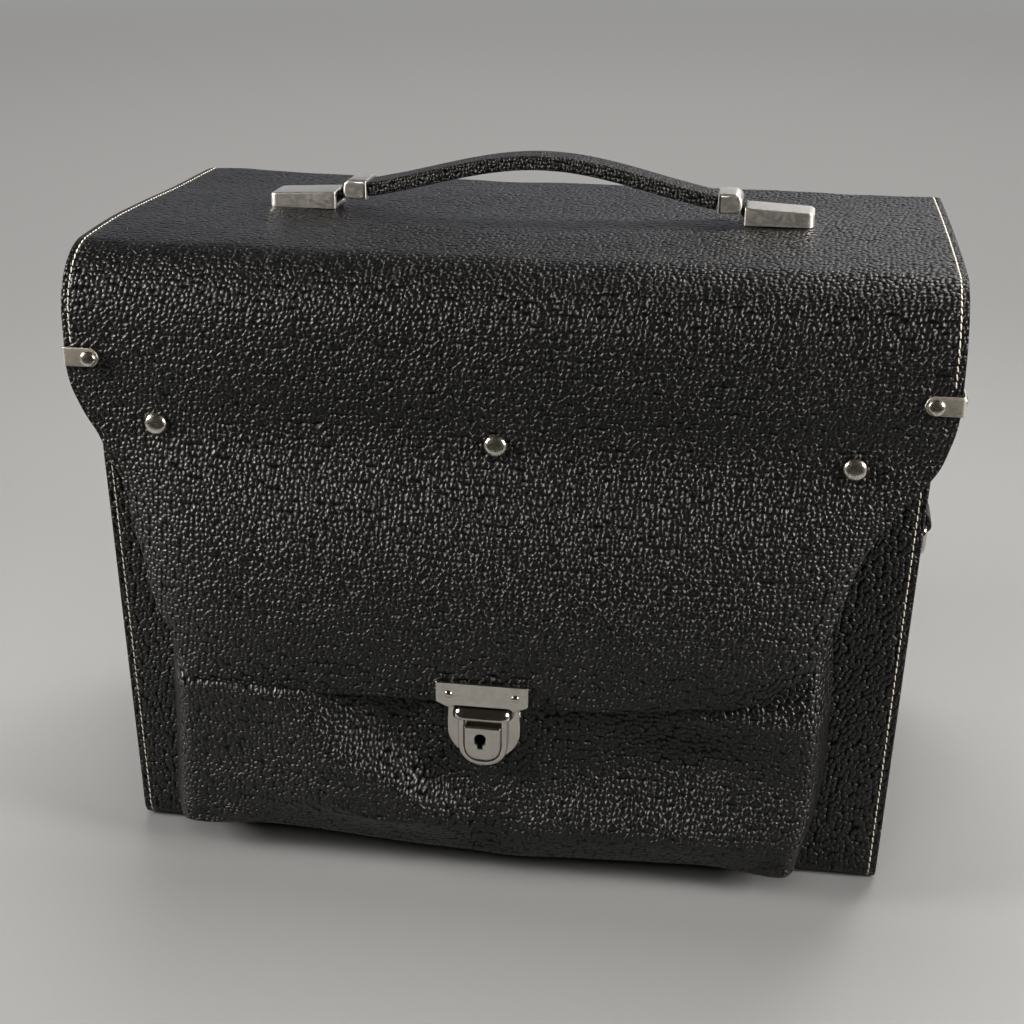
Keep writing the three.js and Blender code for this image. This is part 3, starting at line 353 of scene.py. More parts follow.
def straight(start, end, spacing):
    """Points along a straight line in a plane at about this spacing, without its last point."""
    steps = max(int(np.hypot(*np.subtract(end, start)) / spacing), 1)
    return np.asarray(start) + np.arange(steps)[:, None] / steps * np.subtract(end, start)


def crowded(count, crowding):
    """Values from -1 to 1 that lie closer together towards both ends, as a sine does."""
    return np.sin(np.linspace(-crowding, crowding, count)) / np.sin(crowding)


def ripple(a, b, length, seed):
    """Soft uneven waves over two coordinates: a sum of sines with random directions and phases."""
    draw = np.random.default_rng(seed)
    angle, phase = draw.uniform(0, np.pi, WAVES), draw.uniform(0, 2 * np.pi, WAVES)
    wave = 2 * np.pi / (length * draw.uniform(0.7, 1.6, WAVES))
    along = np.multiply.outer(a, wave * np.cos(angle)) + np.multiply.outer(b, wave * np.sin(angle))
    return np.sin(along + phase).sum(-1) / np.sqrt(WAVES)


def body_half(z):
    """Half the body's width at a height: it widens evenly from the base."""
    return BASE_HALF_WIDTH + WIDENING * z


def groove(distance, line):
    """Furrow pressed by a row of stitches: a bell curve across the distance from the edge."""
    return -SEAM_GROOVE * np.exp(-((distance - line) / SEAM_WIDTH) ** 2)


body_leather = pebbled_leather("body_leather", pebble=2.3, relief=0.46, roughness=0.32)
wrap_path = np.vstack([
    straight((FRONT_Y, FRONT_TOP_Z), (FRONT_Y, BASE_BEND), ROW_STEP),
    arc((FRONT_Y + BASE_BEND, BASE_BEND), BASE_BEND, 180, 270, 9),
    straight((FRONT_Y + BASE_BEND + ROW_STEP, 0), (BACK_Y - BASE_BEND, 0), BASE_STEP),
    arc((BACK_Y - BASE_BEND, BASE_BEND), BASE_BEND, 270, 360, 9),
    straight((BACK_Y, BASE_BEND + ROW_STEP), (BACK_Y, BACK_TOP_Z), ROW_STEP),
    [(BACK_Y, BACK_TOP_Z)],
])
wrap_y, wrap_z = wrap_path[:, :1], wrap_path[:, 1:]
wrap_share = -crowded(120, 1.4)
wrap_half = body_half(wrap_z) - CUT_EDGE
wrap_x = wrap_half * wrap_share + RIGHT_OVERHANG * wrap_z * (1 + wrap_share) / 2
wrap = surface(wrap_x, wrap_y, wrap_z)
wrap_normals = grid_normals(wrap)
wrap_edge = wrap_half * (1 - np.abs(wrap_share))
wavy = np.clip((wrap_z - 2 * BASE_BEND) / WAVE_RISE, 0, 1) * np.clip(wrap_edge / WAVE_INSET, 0, 1)
wrap_relief = WRAP_WAVE * wavy * ripple(wrap_x, wrap_z, WRAP_WAVE_LENGTH, 3) + groove(wrap_edge, SEAM_INSET)
wrap = wrap + wrap_normals * wrap_relief[..., None]
add_leather("wrap_leather", wrap, LEATHER, "body_wrap")

# Side panels: one gusset of thinner leather on each side, its flanges turned in behind the front and back
# and sewn there. The web between them bows outwards, as a filled case does.
THIN_LEATHER = 2.2
FIT = 0.3
SIDE_TOP_Z = 244.0
SIDE_INSET, SIDE_BOW = 0.5, 4.5
SIDE_FLANGE, SIDE_CORNER = 11.0, 3.0
SIDE_WAVE, SIDE_WAVE_LENGTH = 0.35, 48
MIDDLE_Y = (FRONT_Y + BACK_Y) / 2


def mirror(points):
    """The same grid on the case's other side, with its columns turned round so that it faces outwards."""
    return points[:, ::-1] * [-1, 1, 1]


low_z, high_z = np.linspace(LEATHER + FIT, BASE_BEND, 7), np.linspace(BASE_BEND + ROW_STEP, SIDE_TOP_Z, 80)
side_z = np.concatenate([low_z, high_z])[:, None]
bend_inside = BASE_BEND - LEATHER - FIT
bend_drop = np.clip(BASE_BEND - side_z, 0, bend_inside)
bend_recess = bend_inside - np.sqrt(bend_inside ** 2 - bend_drop ** 2)
side_front = FRONT_Y + LEATHER + FIT + bend_recess
side_back = BACK_Y - LEATHER - FIT - bend_recess
side_outside = body_half(side_z) - SIDE_INSET
front_turn, back_turn = np.radians(np.linspace(-90, 0, 7)), np.radians(np.linspace(0, 90, 7))
flange = (SIDE_FLANGE - SIDE_CORNER) * np.linspace(0, 1, 5)
web = np.linspace(0, 1, 72)[1:-1]
web_y = side_front + SIDE_CORNER + (side_back - side_front - 2 * SIDE_CORNER) * web
bow_across = np.clip(np.cos(np.pi * (web_y - MIDDLE_Y) / (BACK_Y - FRONT_Y)), 0, 1)
bow = SIDE_BOW * bow_across * np.sin(np.pi * side_z / SIDE_TOP_Z)
side_wave = SIDE_WAVE * bow_across * ripple(web_y, side_z, SIDE_WAVE_LENGTH, 5)
side_x = np.hstack([
    side_outside - SIDE_FLANGE + flange[:-1],
    side_outside - SIDE_CORNER * (1 - np.cos(front_turn)),
    side_outside + bow + side_wave,
    side_outside - SIDE_CORNER * (1 - np.cos(back_turn)),
    side_outside - SIDE_CORNER - flange[1:],
])
side_y = np.hstack([
    side_front + 0 * flange[:-1],
    side_front + SIDE_CORNER * (1 + np.sin(front_turn)),
    web_y,
    side_back - SIDE_CORNER * (1 - np.sin(back_turn)),
    side_back + 0 * flange[1:],
])
side_panel = surface(side_x, side_y, side_z)
add_leather("side_leather_right", side_panel, THIN_LEATHER, "side_right")
add_leather("side_leather_left", mirror(side_panel), THIN_LEATHER, "side_left")

# Body seams: cream waxed thread sewn through the wrap and the side panels, in short dashes that slant a
# little across the seam and sink into the leather at both ends.
SIDES = {"left": -1, "right": 1}
THREAD = 0.56
STITCH_PITCH, STITCH_LENGTH, STITCH_SINK = 3.3, 3.0, 0.22
STITCH_SLANT, SLANT_SPREAD = 0.12, 0.05
STITCH_END = 0.97
# The darker thread colour is soiled thread and also painted shade in the twist's grooves.
THREAD_SOILED_AND_SHADED, THREAD_CLEAN_AND_LIT = (0.34, 0.32, 0.27, 1), (0.80, 0.76, 0.67, 1)
THREAD_ROUGHNESS, TWIST_RELIEF, TWIST_STRENGTH = 0.62, 0.1, 0.5
TWIST_SCALE, TWIST_SWAY, SOIL_SCALE, LEAST_CLEAN_AND_LIT = 900.0, 1.5, 70.0, 0.15


def waxed_thread(name):
    """Cream thread with a soft twist: fine stripes in the relief, and the same stripes darken the colour
    in the twist's grooves as painted shade, over clouds of real dirt.
    """
    material, tree, shader = new_material(name)
    place = node(tree, "TexCoord").outputs["Object"]
    twist = node(tree, "TexWave", {"Vector": place, "Scale": TWIST_SCALE, "Distortion": TWIST_SWAY},
                 bands_direction="DIAGONAL").outputs["Fac"]
    # Dirt clouds times the twist stripes: the twist's grooves darken as painted shade.
    clean_and_twist_lit = math_node(tree, "MULTIPLY_ADD", noise(tree, place, SOIL_SCALE, 3.0), twist, LEAST_CLEAN_AND_LIT)
    bump = node(tree, "Bump", {"Strength": TWIST_STRENGTH, "Distance": TWIST_RELIEF * MM, "Height": twist})
    feed(tree, shader, {
        "Base Color": mixed(tree, clean_and_twist_lit, THREAD_SOILED_AND_SHADED, THREAD_CLEAN_AND_LIT),
        "Roughness": THREAD_ROUGHNESS,
        "Normal": bump.outputs["Normal"],
    })
    return material


def on_columns(grid, rows, column):
    """Values of a grid's rows at fractional columns, straight between the two neighbours."""
    before = np.floor(column).astype(int)
    share = (column - before)[:, None]
    return grid[rows, before] * (1 - share) + grid[rows, before + 1] * share


def stitches(path, normals, seed):
    """A run of stitches along a path: each is a long ellipsoid, slanted by its own small turn, with its
    middle half a thread above the leather and its ends below it."""
    length = run_length(path)
    at = np.arange(STITCH_PITCH / 2, length[-1], STITCH_PITCH)
    lines = np.hstack([path, normals, np.gradient(path, axis=0)])
    sampled = np.column_stack([np.interp(at, length, line) for line in lines.T])
    centre, above, ahead = np.split(sampled, 3, axis=1)
    above, ahead = unit(above), unit(ahead)
    slant = STITCH_SLANT + np.random.default_rng(seed).normal(0, SLANT_SPREAD, len(at))[:, None]
    along = unit(ahead + slant * unit(np.cross(above, ahead)))
    axes = np.stack([along, np.cross(above, along), above], axis=1)
    lap, ring = np.linspace(-STITCH_END, STITCH_END, 7)[:, None], np.linspace(0, 2 * np.pi, 9)[:-1]
    girth = np.sqrt(1 - lap ** 2) ** 0.5 * THREAD / 2
    height = girth * np.sin(ring) - STITCH_SINK * lap ** 4
    local = surface(lap * STITCH_LENGTH / 2, girth * np.cos(ring), height)
    points = centre[:, None, None] + np.einsum("lrk,nkx->nlrx", local, axes)
    index = numbered(points)
    index = np.concatenate([index, index[..., :1]], axis=2)
    corners = [index[:, :-1, 1:], index[:, 1:, 1:], index[:, 1:, :-1], index[:, :-1, :-1]]
    faces = np.stack(corners, axis=-1).reshape(-1, 4)
    ends = np.concatenate([index[:, 0, :-1], index[:, -1, -2::-1]])
    return points.reshape(-1, 3), faces.tolist() + ends.tolist()


def sew(name, grid, normals, rows, half, share, inset, seed):
    """Adds a run of stitches down both sides of a leather grid, an inset away from its cut edges. The grid's
    columns lie at a share of its half width, and no stitch sinks below the floor."""
    for side_name, sign in SIDES.items():
        there = sign * (1 - inset / half)
        column = np.interp(there * share[-1], share * share[-1], np.arange(len(share)))
        path = on_columns(grid, rows, column)
        path[:, 2] = np.maximum(path[:, 2], THREAD / 2)
        run = stitches(path, on_columns(normals, rows, column), seed)
        add_piece(f"{name}_{side_name}", run, seam_thread)


seam_thread = waxed_thread("seam_thread")
wrap_rows = np.arange(2, len(wrap_path) - 1)
sew("body_stitches", wrap, wrap_normals, wrap_rows, wrap_half[wrap_rows, 0], wrap_share, SEAM_INSET, 11)

# The front pocket: one moulded piece of the same leather, sewn to the front along its side walls and base
# and open under the flap. Years of use have dented its front, drawn it in under the lock and let it sag.
POCKET_X = -4.0
POCKET_ROWS = np.array([
    # z, depth, left wall at the body, left wall at the front, right wall at the front, right wall at the body
    (9.2, 0.3, -149.5, -138.8, 128.4, 132.0),
    (8.6, 7.0, -149.8, -138.9, 128.4, 132.6),
    (8.7, 14.0, -149.9, -138.9, 128.5, 133.0),
    (9.8, 18.6, -149.9, -138.9, 128.7, 133.5),
    (12.4, 22.0, -149.9, -138.8, 129.0, 134.2),
    (16.4, 23.6, -149.8, -138.6, 129.6, 135.2),
    (22, 24.4, -149.6, -138.2, 130.5, 136.4),
    (29, 24.6, -149.3, -137.8, 131.8, 137.8),
    (38, 24.2, -149.0, -137.4, 133.4, 139.6),
    (48, 23.3, -148.7, -137.1, 134.8, 140.6),
    (58, 22.4, -148.4, -136.9, 135.6, 141.2),
    (68, 22.0, -148.1, -136.8, 135.8, 141.6),
    (79, 21.9, -147.8, -136.8, 135.8, 141.9),
    (91, 22.2, -147.5, -136.8, 135.6, 142.0),
    (104, 22.6, -147.2, -136.8, 135.0, 141.6),
    (117, 22.8, -147.0, -136.8, 133.6, 140.6),
    (130, 21.8, -146.5, -136.5, 131.4, 139.4),
    (142, 19.6, -146.0, -136.0, 129.4, 138.4),
    (153, 16.4, -145.5, -135.0, 127.8, 137.4),
    (162, 13.0, -145.0, -134.0, 126.4, 136.4),
])
POCKET_BOTTOM = np.array([
    # x, height of the bottom edge
    (-150, 14.8), (-124, 14.3), (-108, 13.8), (-87, 13.3), (-64, 12.0), (-42, 10.4), (-23, 9.6), (-10, 8.6),
    (0, 7.4), (12, 8.0), (30, 9.2), (53, 10.3), (74, 11.2), (102, 11.8), (135, 12.4),
])
POCKET_FOLDS = np.array([
    # x, z, spread in x, spread in z, rise
    (-40, 72, 34, 15, -2.2),
    (72, 62, 52, 16, -4.8),
    (66, 30, 62, 10, 4.6),
    (-3, 24, 9, 16, -3.4),
    (-108, 94, 36, 17, 2.4),
    (40, 66, 13, 9, 1.2),
    (22, 24, 12, 9, 0.8),
])
POCKET_WAVE, POCKET_WAVE_LENGTH = 0.22, 26
RIDGE_X, RIDGE_Z, RIDGE_TURN = -40.0, 53.5, np.radians(38)
RIDGE_RISE, RIDGE_HALF, RIDGE_REACH, RIDGE_LENGTH = 12.5, 14.0, 78.0, 64.0
RIDGE_LOW, RIDGE_HIGH = 14.0, 38.0
BOTTOM_LEVEL, BOTTOM_REACH, BOTTOM_DEPTH = 8.6, 32.0, 12.0
POCKET_FRONT_FROM, POCKET_FRONT_TO = 8.0, 20.0
POCKET_FILLET, POCKET_CORNER, WALL_STRAIGHT = 4.5, 1.2, 0.62
CORNER_DEPTH, CORNER_BEND = 22.5, 14.0
CORNER_FROM, CORNER_TO = 92.0, 128.0
LOCK_X = -3.4
LOCK_SEAT = {"bottom": 52.0, "top": 92.0, "half": 22.0, "blend": 12.0, "depth": 21.8}
FLAP_LOW = 86.0
FLAP_CLEARANCE, FLAP_GAP = 1.1, 0.2
FLAP_SHELTER, UNSHELTERED = 3.0, 10.0
FLAP_EDGE_POWER = 8
SKIVE_WIDTH = 10.0
SKIVE_LEFT, SKIVE_RIGHT = 0.5, 1.9
SKIVE_FROM, SKIVE_TO = -95, -25
FLAP_ROWS = np.array([
    # z, depth in the middle, depth at the edges, left edge, right edge
    (86.0, -124.9, -122.6, -124.0, 58.0),
    (88.0, -125.0, -122.2, -132.0, 82.0),
    (91.0, -125.2, -121.8, -135.0, 100.0),
    (95.5, -125.5, -121.2, -136.4, 114.0),
    (101.0, -125.8, -120.4, -138.0, 122.6),
    (107.0, -126.2, -119.4, -140.6, 130.8),
    (114.0, -126.5, -118.2, -145.3, 135.5),
    (122.0, -126.3, -116.8, -148.5, 138.5),
    (131.0, -125.4, -114.8, -151.4, 141.3),
    (140.0, -123.9, -112.6, -153.8, 144.2),
    (149.0, -121.7, -110.3, -157.2, 147.1),
    (158.0, -118.8, -108.2, -159.3, 151.0),
    (166.0, -115.4, -106.6, -160.8, 155.6),
    (173.0, -111.8, -105.4, -164.1, 160.5),
    (179.0, -108.6, -104.7, -168.2, 165.2),
    (185.0, -105.9, -104.2, -170.5, 169.8),
    (191.0, -104.1, -104.0, -173.2, 174.5),
    (197.0, -103.3, -104.0, -176.9, 177.9),
    (204.0, -103.5, -104.2, -180.2, 180.2),
    (212.0, -104.4, -104.6, -183.0, 182.3),
    (220.0, -105.0, -105.0, -184.1, 183.3),
    (229.0, -105.3, -105.3, -184.5, 183.7),
])


def smooth_step(x, start, end):
    """Rises from 0 at start to 1 at end, level at both."""
    t = np.clip((x - start) / (end - start), 0, 1)
    return t * t * (3 - 2 * t)


def smooth_curve(x, knots, values):
    """Smooth curve through the rows of a table without overshoot: cubic pieces whose slope at a row is the
    harmonic mean of the slopes beside it. Past the ends it stays level."""
    x = np.clip(x, knots[0], knots[-1])
    step = np.diff(knots)
    rise = np.diff(values) / step
    same = rise[:-1] * rise[1:] > 0
    inner = np.where(same, 2 * rise[:-1] * rise[1:] / np.where(same, rise[:-1] + rise[1:], 1), 0)
    slope = np.concatenate([rise[:1], inner, rise[-1:]])
    k = np.clip(np.searchsorted(knots, x) - 1, 0, len(step) - 1)
    t = (x - knots[k]) / step[k]
    ends = values[k] * (1 + 2 * t) * (1 - t) ** 2 + values[k + 1] * t * t * (3 - 2 * t)
    return ends + step[k] * (slope[k] * t * (1 - t) ** 2 + slope[k + 1] * t * t * (t - 1))


def flap_row(z):
    """The flap's depth in the middle and at its edges, and its left and right edge, at a height."""
    return [smooth_curve(z, FLAP_ROWS[:, 0], column) for column in FLAP_ROWS.T[1:]]


def flap_depth(x, z):
    """Depth of the lid's front and flap: level across the middle and drawn towards the body at both edges."""
    middle, edge, left, right = flap_row(z)
    across = np.clip((2 * x - left - right) / (right - left), -1, 1)
    return middle + (edge - middle) * np.abs(across) ** FLAP_EDGE_POWER


def flap_skive(x):
    """Thickness of the flap's lower edge: pared thin at the left, where it lies close."""
    return SKIVE_LEFT + (SKIVE_RIGHT - SKIVE_LEFT) * smooth_step(x, SKIVE_FROM, SKIVE_TO)


def bell_sum(x, z, bells):
    """Sum of soft bumps and dents, each a bell curve about its own centre."""
    cx, cz, sx, sz, rise = bells.T
    reach = ((x[..., None] - cx) / sx) ** 2 + ((z[..., None] - cz) / sz) ** 2
    return (rise * np.exp(-reach)).sum(-1)


def ridge(x, z):
    """The slanting fold left of the lock: a smooth step up to the lower left, fading along it."""
    off = (RIDGE_X - x) * np.sin(RIDGE_TURN) + (RIDGE_Z - z) * np.cos(RIDGE_TURN)
    along = (x - RIDGE_X) * np.cos(RIDGE_TURN) - (z - RIDGE_Z) * np.sin(RIDGE_TURN)
    step = smooth_step(off, -RIDGE_HALF, RIDGE_HALF) * (1 - smooth_step(off, RIDGE_HALF, RIDGE_REACH))
    return RIDGE_RISE * step * np.exp(-(along / RIDGE_LENGTH) ** 2) * smooth_step(z, RIDGE_LOW, RIDGE_HIGH)


def pocket_depth(x):
    """Depth of the pocket's front at a place across each row: the row's depth with folds, flat under the
    lock and held back by the flap. Towards the side walls the base turns up in a tighter bend."""
    z = pocket_z
    corner = smooth_step(np.abs(x - POCKET_X), CORNER_FROM, CORNER_TO)
    tight = CORNER_DEPTH * smooth_step(pocket_out, 0, CORNER_BEND)
    plain = pocket_out + corner * np.maximum(tight - pocket_out, 0)
    front = smooth_step(plain, POCKET_FRONT_FROM, POCKET_FRONT_TO)
    folds = bell_sum(x, z, POCKET_FOLDS) + ridge(x, z) + POCKET_WAVE * ripple(x, z, POCKET_WAVE_LENGTH, 9)
    folded = plain + folds * front
    half, blend, bottom, top = (LOCK_SEAT[key] for key in ("half", "blend", "bottom", "top"))
    across = 1 - smooth_step(np.abs(x - LOCK_X), half, half + blend)
    upright = smooth_step(z, bottom - blend, bottom) * (1 - smooth_step(z, top, top + blend))
    seated = folded + (LOCK_SEAT["depth"] - folded) * across * upright * front
    skive = flap_skive(x)
    cover = skive + (LEATHER + FLAP_CLEARANCE - skive) * smooth_step(z, FLAP_LOW, FLAP_LOW + SKIVE_WIDTH)
    under_flap = FRONT_Y - flap_depth(x, z) - cover - FLAP_GAP
    shelter = smooth_step(z, FLAP_LOW - FLAP_SHELTER, FLAP_LOW)
    return np.minimum(seated, under_flap + (1 - shelter) * UNSHELTERED)


def pocket_side(sign, foot_x, edge_x):
    """One side wall and its rounded edge: straight out from the body, then a parabola round the corner."""
    wall, bend = np.linspace(0, 1, 8)[:-1], np.linspace(0, 1, 12)[:-1]
    corner_x, front_x = edge_x + sign * POCKET_CORNER, edge_x - sign * POCKET_FILLET
    lines = []
    depths = (FIT, pocket_depth(corner_x), pocket_depth(front_x))
    for foot, corner, front in ((foot_x, corner_x, front_x), depths):
        start = foot + WALL_STRAIGHT * (corner - foot)
        round_edge = (1 - bend) ** 2 * start + 2 * bend * (1 - bend) * corner + bend ** 2 * front
        lines.append(np.hstack([foot + wall * (start - foot), round_edge]))
    return lines


row_number = np.arange(len(POCKET_ROWS))
row_place = np.linspace(0, len(POCKET_ROWS) - 1, 118)
pocket_z, pocket_out, left_foot, left_front, right_front, right_foot = (
    smooth_curve(row_place, row_number, column)[:, None] for column in POCKET_ROWS.T)
left_x, left_out = pocket_side(-1, left_foot, left_front)
right_x, right_out = pocket_side(1, right_foot, right_front)
face_half = (right_front - left_front) / 2 - POCKET_FILLET
face_x = (left_front + right_front) / 2 + np.linspace(-1, 1, 130) * face_half
pocket_x = np.hstack([left_x, face_x, right_x[:, ::-1]])
pocket_y = FRONT_Y - np.hstack([left_out, pocket_depth(face_x), right_out[:, ::-1]])
bottom_lift = smooth_curve(pocket_x, *POCKET_BOTTOM.T) - BOTTOM_LEVEL
bottom_lift *= 1 - smooth_step(pocket_z, BOTTOM_LEVEL, BOTTOM_REACH)
bottom_lift *= smooth_step(pocket_out, 0, BOTTOM_DEPTH)
pocket = surface(pocket_x, pocket_y, pocket_z + bottom_lift)
add_leather("pocket_leather", pocket, THIN_LEATHER, "front_pocket")

# The lid: one long panel, sewn over the wings at both ends. It runs up the back as a short skirt, over the
# top, round a soft roll and down the front as a flap that is cut narrower over the pocket.
LID_BACK_Y, LID_FRONT_Y = 99.3, -105.3
LID_BACK_Z, LID_RISE = 262.0, 6.5
LID_FOLD, LID_ROLL, LEAST_FOLD = 3.5, 28.0, 0.4
LID_HALF_BACK, LID_HALF_FRONT, LID_LEFT_EXTRA = 182.5, 183.7, 0.8
ROLL_Y, ROLL_Z = LID_FRONT_Y + LID_ROLL, LID_BACK_Z + LID_RISE - LID_ROLL
FOLD_Y, FOLD_Z = LID_BACK_Y - LID_FOLD, LID_BACK_Z - LID_FOLD
FLAP_FINE_Z, FLAP_TOP_Z = 110.0, 238.5
SKIRT_Z = 222.0
LID_SEAM, LID_SEAM_Z = 3.0, 229.0
LID_STEP = 2.4
LID_FOLDS = np.array([
    # x, z, spread in x, spread in z, rise
    (-128, 176, 26, 13, 1.6),
    (-60, 148, 70, 16, 0.5),
    (96, 150, 40, 18, -0.6),
    (-4, 100, 34, 16, -0.5),
    (150, 205, 22, 10, -0.7),
    (-160, 205, 16, 10, -0.6),
    (-118, 92, 26, 12, -0.8),
])
TOP_FOLDS = np.array([
    # x, y, spread in x, spread in y, rise
    (-184, -40, 60, 46, 1.2),
    (-184, 98, 40, 40, 0.9),
    (10, 20, 90, 50, -0.5),
])
LID_WAVES = ((0.30, 60, 21), (0.10, 22, 22))  # height, length, seed
CALM_WIDTH, CALM_LEAST = 20, 0.15
FRONT_FADE, SEWN_FADE, TOP_FADE = (215, 238), (224, 228), (255, 262)
EDGE_DROP, EDGE_WIDTH = 0.4, 2.0


def lid_top(y):
    """Height of the lid's top: it rises as a quarter sine from the back fold to the front roll."""
    return LID_BACK_Z + LID_RISE * np.sin(np.clip((FOLD_Y - y) / (FOLD_Y - ROLL_Y), 0, 1) * np.pi / 2)


def lid_half(y):
    """Half the lid's width at a depth."""
    return LID_HALF_FRONT + (LID_HALF_BACK - LID_HALF_FRONT) * (y - LID_FRONT_Y) / (LID_BACK_Y - LID_FRONT_Y)


def lid_over(inset, spacing):
    """The lid's profile above the flap, moved in by an inset: its roll, top, back fold and skirt."""
    top_y = np.linspace(ROLL_Y, FOLD_Y, int((FOLD_Y - ROLL_Y) / spacing))[1:-1]
    skirt_y = LID_BACK_Y - inset
    return np.vstack([
        arc((ROLL_Y, ROLL_Z), LID_ROLL - inset, 180, 90, int(LID_ROLL * np.pi / 2 / spacing) + 6),
        np.column_stack([top_y, lid_top(top_y) - inset]),
        arc((FOLD_Y, FOLD_Z), max(LID_FOLD - inset, LEAST_FOLD), 90, 0, 8),
        straight((skirt_y, FOLD_Z - 2), (skirt_y, SKIRT_Z), spacing),
        [(skirt_y, SKIRT_Z)],
    ])


lid_share = crowded(176, 1.35)
lid_middle = len(lid_share) // 2
flap_low_z, flap_high_z = np.linspace(FLAP_LOW, FLAP_FINE_Z, 27), np.linspace(FLAP_FINE_Z, FLAP_TOP_Z, 62)
flap_z = np.concatenate([flap_low_z[:-1], flap_high_z])[:, None]
over_y, over_z = lid_over(0, LID_STEP).T[..., None]
_, _, flap_left, flap_right = flap_row(flap_z)
lid_left = np.vstack([flap_left, -lid_half(over_y) - LID_LEFT_EXTRA])
lid_right = np.vstack([flap_right, lid_half(over_y)])
lid_x = (lid_left + lid_right) / 2 + lid_share * ((lid_right - lid_left) / 2 - CUT_EDGE)
flap_y = flap_depth(lid_x[:len(flap_z)], flap_z)
lid_y = np.vstack([flap_y, np.broadcast_to(over_y, (len(over_y), len(lid_share)))])
lid_z = np.vstack([flap_z, over_z])
lid = surface(lid_x, lid_y, lid_z)
lid_normals = grid_normals(lid)
lid_length = run_length(lid[:, lid_middle])[:, None]
lid_edge = (1 - np.abs(lid_share)) * np.abs(lid_x[:, -1:] - lid_x[:, :1]) / 2
calm = np.clip(lid_edge / CALM_WIDTH, CALM_LEAST, 1)
sewn = smooth_step(lid_z, *SEWN_FADE)
waves = sum(height * ripple(lid_x, lid_length, length, seed) for height, length, seed in LID_WAVES)
lid_relief = calm * waves
lid_relief += calm * (1 - smooth_step(lid_z, *FRONT_FADE)) * bell_sum(lid_x, lid_z, LID_FOLDS)
lid_relief += sewn * groove(lid_edge, LID_SEAM)
lid_relief -= sewn * EDGE_DROP * np.clip(1 - lid_edge / EDGE_WIDTH, 0, 1) ** 2
lid_relief += smooth_step(lid_z, *TOP_FADE) * bell_sum(lid_x, lid_y, TOP_FOLDS)
lid = lid + lid_normals * lid_relief[..., None]
pared = (1 - sewn) * np.clip(1 - np.minimum(lid_edge, lid_length) / SKIVE_WIDTH, 0, 1)
add_leather("lid_leather", lid, LEATHER - (LEATHER - flap_skive(lid[..., 0])) * pared, "lid")

# Lid seams: the same waxed thread, sewn through the lid and the wings under it. It runs along both ends of
# the lid from the skirt over the top and the roll to the clips.
seam_rows = np.flatnonzero(lid[:, lid_middle, 2] > LID_SEAM_Z)
seam_half = lid_half(lid[seam_rows, lid_middle, 1]) - CUT_EDGE
sew("lid_stitches", lid, lid_normals, seam_rows, seam_half, lid_share, LID_SEAM, 12)

# Wings: the hood's short ends, cut to the lid's profile, with a flange turned in under its edge and sewn.
# They are the thinnest leather of the case, and their lower edge runs straight from front to back.
WING_LEATHER = 1.8
WING_FLANGE, WING_BEND = 5.5, 1.0
WING_INSET, WING_FINE, WING_STEP = 0.1, 0.12, 2.5
WING_FRONT_Z = 220.4
UNDER_LID = LEATHER + FIT

wing_front, wing_back = LID_FRONT_Y + UNDER_LID, LID_BACK_Y - UNDER_LID
wing_rise = straight((wing_front, WING_FRONT_Z), (wing_front, ROLL_Z), WING_STEP)
wing_edge = np.vstack([wing_rise, lid_over(UNDER_LID, WING_STEP)])
wing_hem = np.linspace((wing_front, WING_FRONT_Z), (wing_back, SKIRT_Z), len(wing_edge))
fall = np.concatenate([np.linspace(0, WING_FINE, 6)[:-1], np.linspace(WING_FINE, 1, 18)])
wing_y, wing_z = (edge[:, None] + fall * (hem - edge)[:, None] for edge, hem in zip(wing_edge.T, wing_hem.T))
wing_web = surface(lid_half(wing_y) - WING_INSET, wing_y, wing_z)
turned = np.repeat(wing_web[:, :1], 4, axis=1)
turned[..., 0] -= np.linspace(WING_FLANGE, WING_BEND, 4)
wing = np.hstack([turned, wing_web])
for side_name, side_wing in {"right": wing, "left": mirror(wing)}.items():
    wing_solid, wing_grain, _ = leather_shell(side_wing, WING_LEATHER)
    add_piece(f"wing_leather_{side_name}", wing_solid, body_leather, f"lid_wing_{side_name}",
              grain=wing_grain, hide=wing_solid[0][:, 1:])

# Corner clips: nickel-plated strips with a round end, bent round the lid's lower corners and riveted to the
# front and to the wing. The right one sits a little lower than the left.
CLIP = {"inner": 169.2, "outer": 184.7, "bottom": 220.6, "top": 228.3, "thick": 0.9, "reach": 14.0,
        "bend": 1.4}
CLIP_LOWER = {"left": 0.0, "right": 1.4}
CLIP_TIP = 0.4
CLIP_RIVET = {"x": 173.4, "z": 224.0, "radius": 3.4, "height": 1.9}
SIDE_RIVET = {"y": -96.5, "radius": 2.6, "height": 1.4}
RIVET_EDGE, RIVET_FLATNESS, RIVET_TOP = 0.22, 0.9, 0.06
FOOT_BAND, TOP_BAND = 0.2, 0.12
TARNISH_SCALE, GRIME_SCALE, SCRATCH_SCALE = 120.0, 420.0, (300.0, 2600.0, 2600.0)
GRIME_COLOUR, GRIME_MATT = (0.10, 0.085, 0.06, 1), 0.35
GRIME_FROM, GRIME_TO, UPRIGHT, LEVEL = 0.45, 0.68, 0.3, 0.9
SCRATCH_FROM, SCRATCH_TO, SCRATCH_MATT = 0.3, 0.8, 0.12
SCRATCH_RELIEF, SCRATCH_STRENGTH = 0.1, 0.12


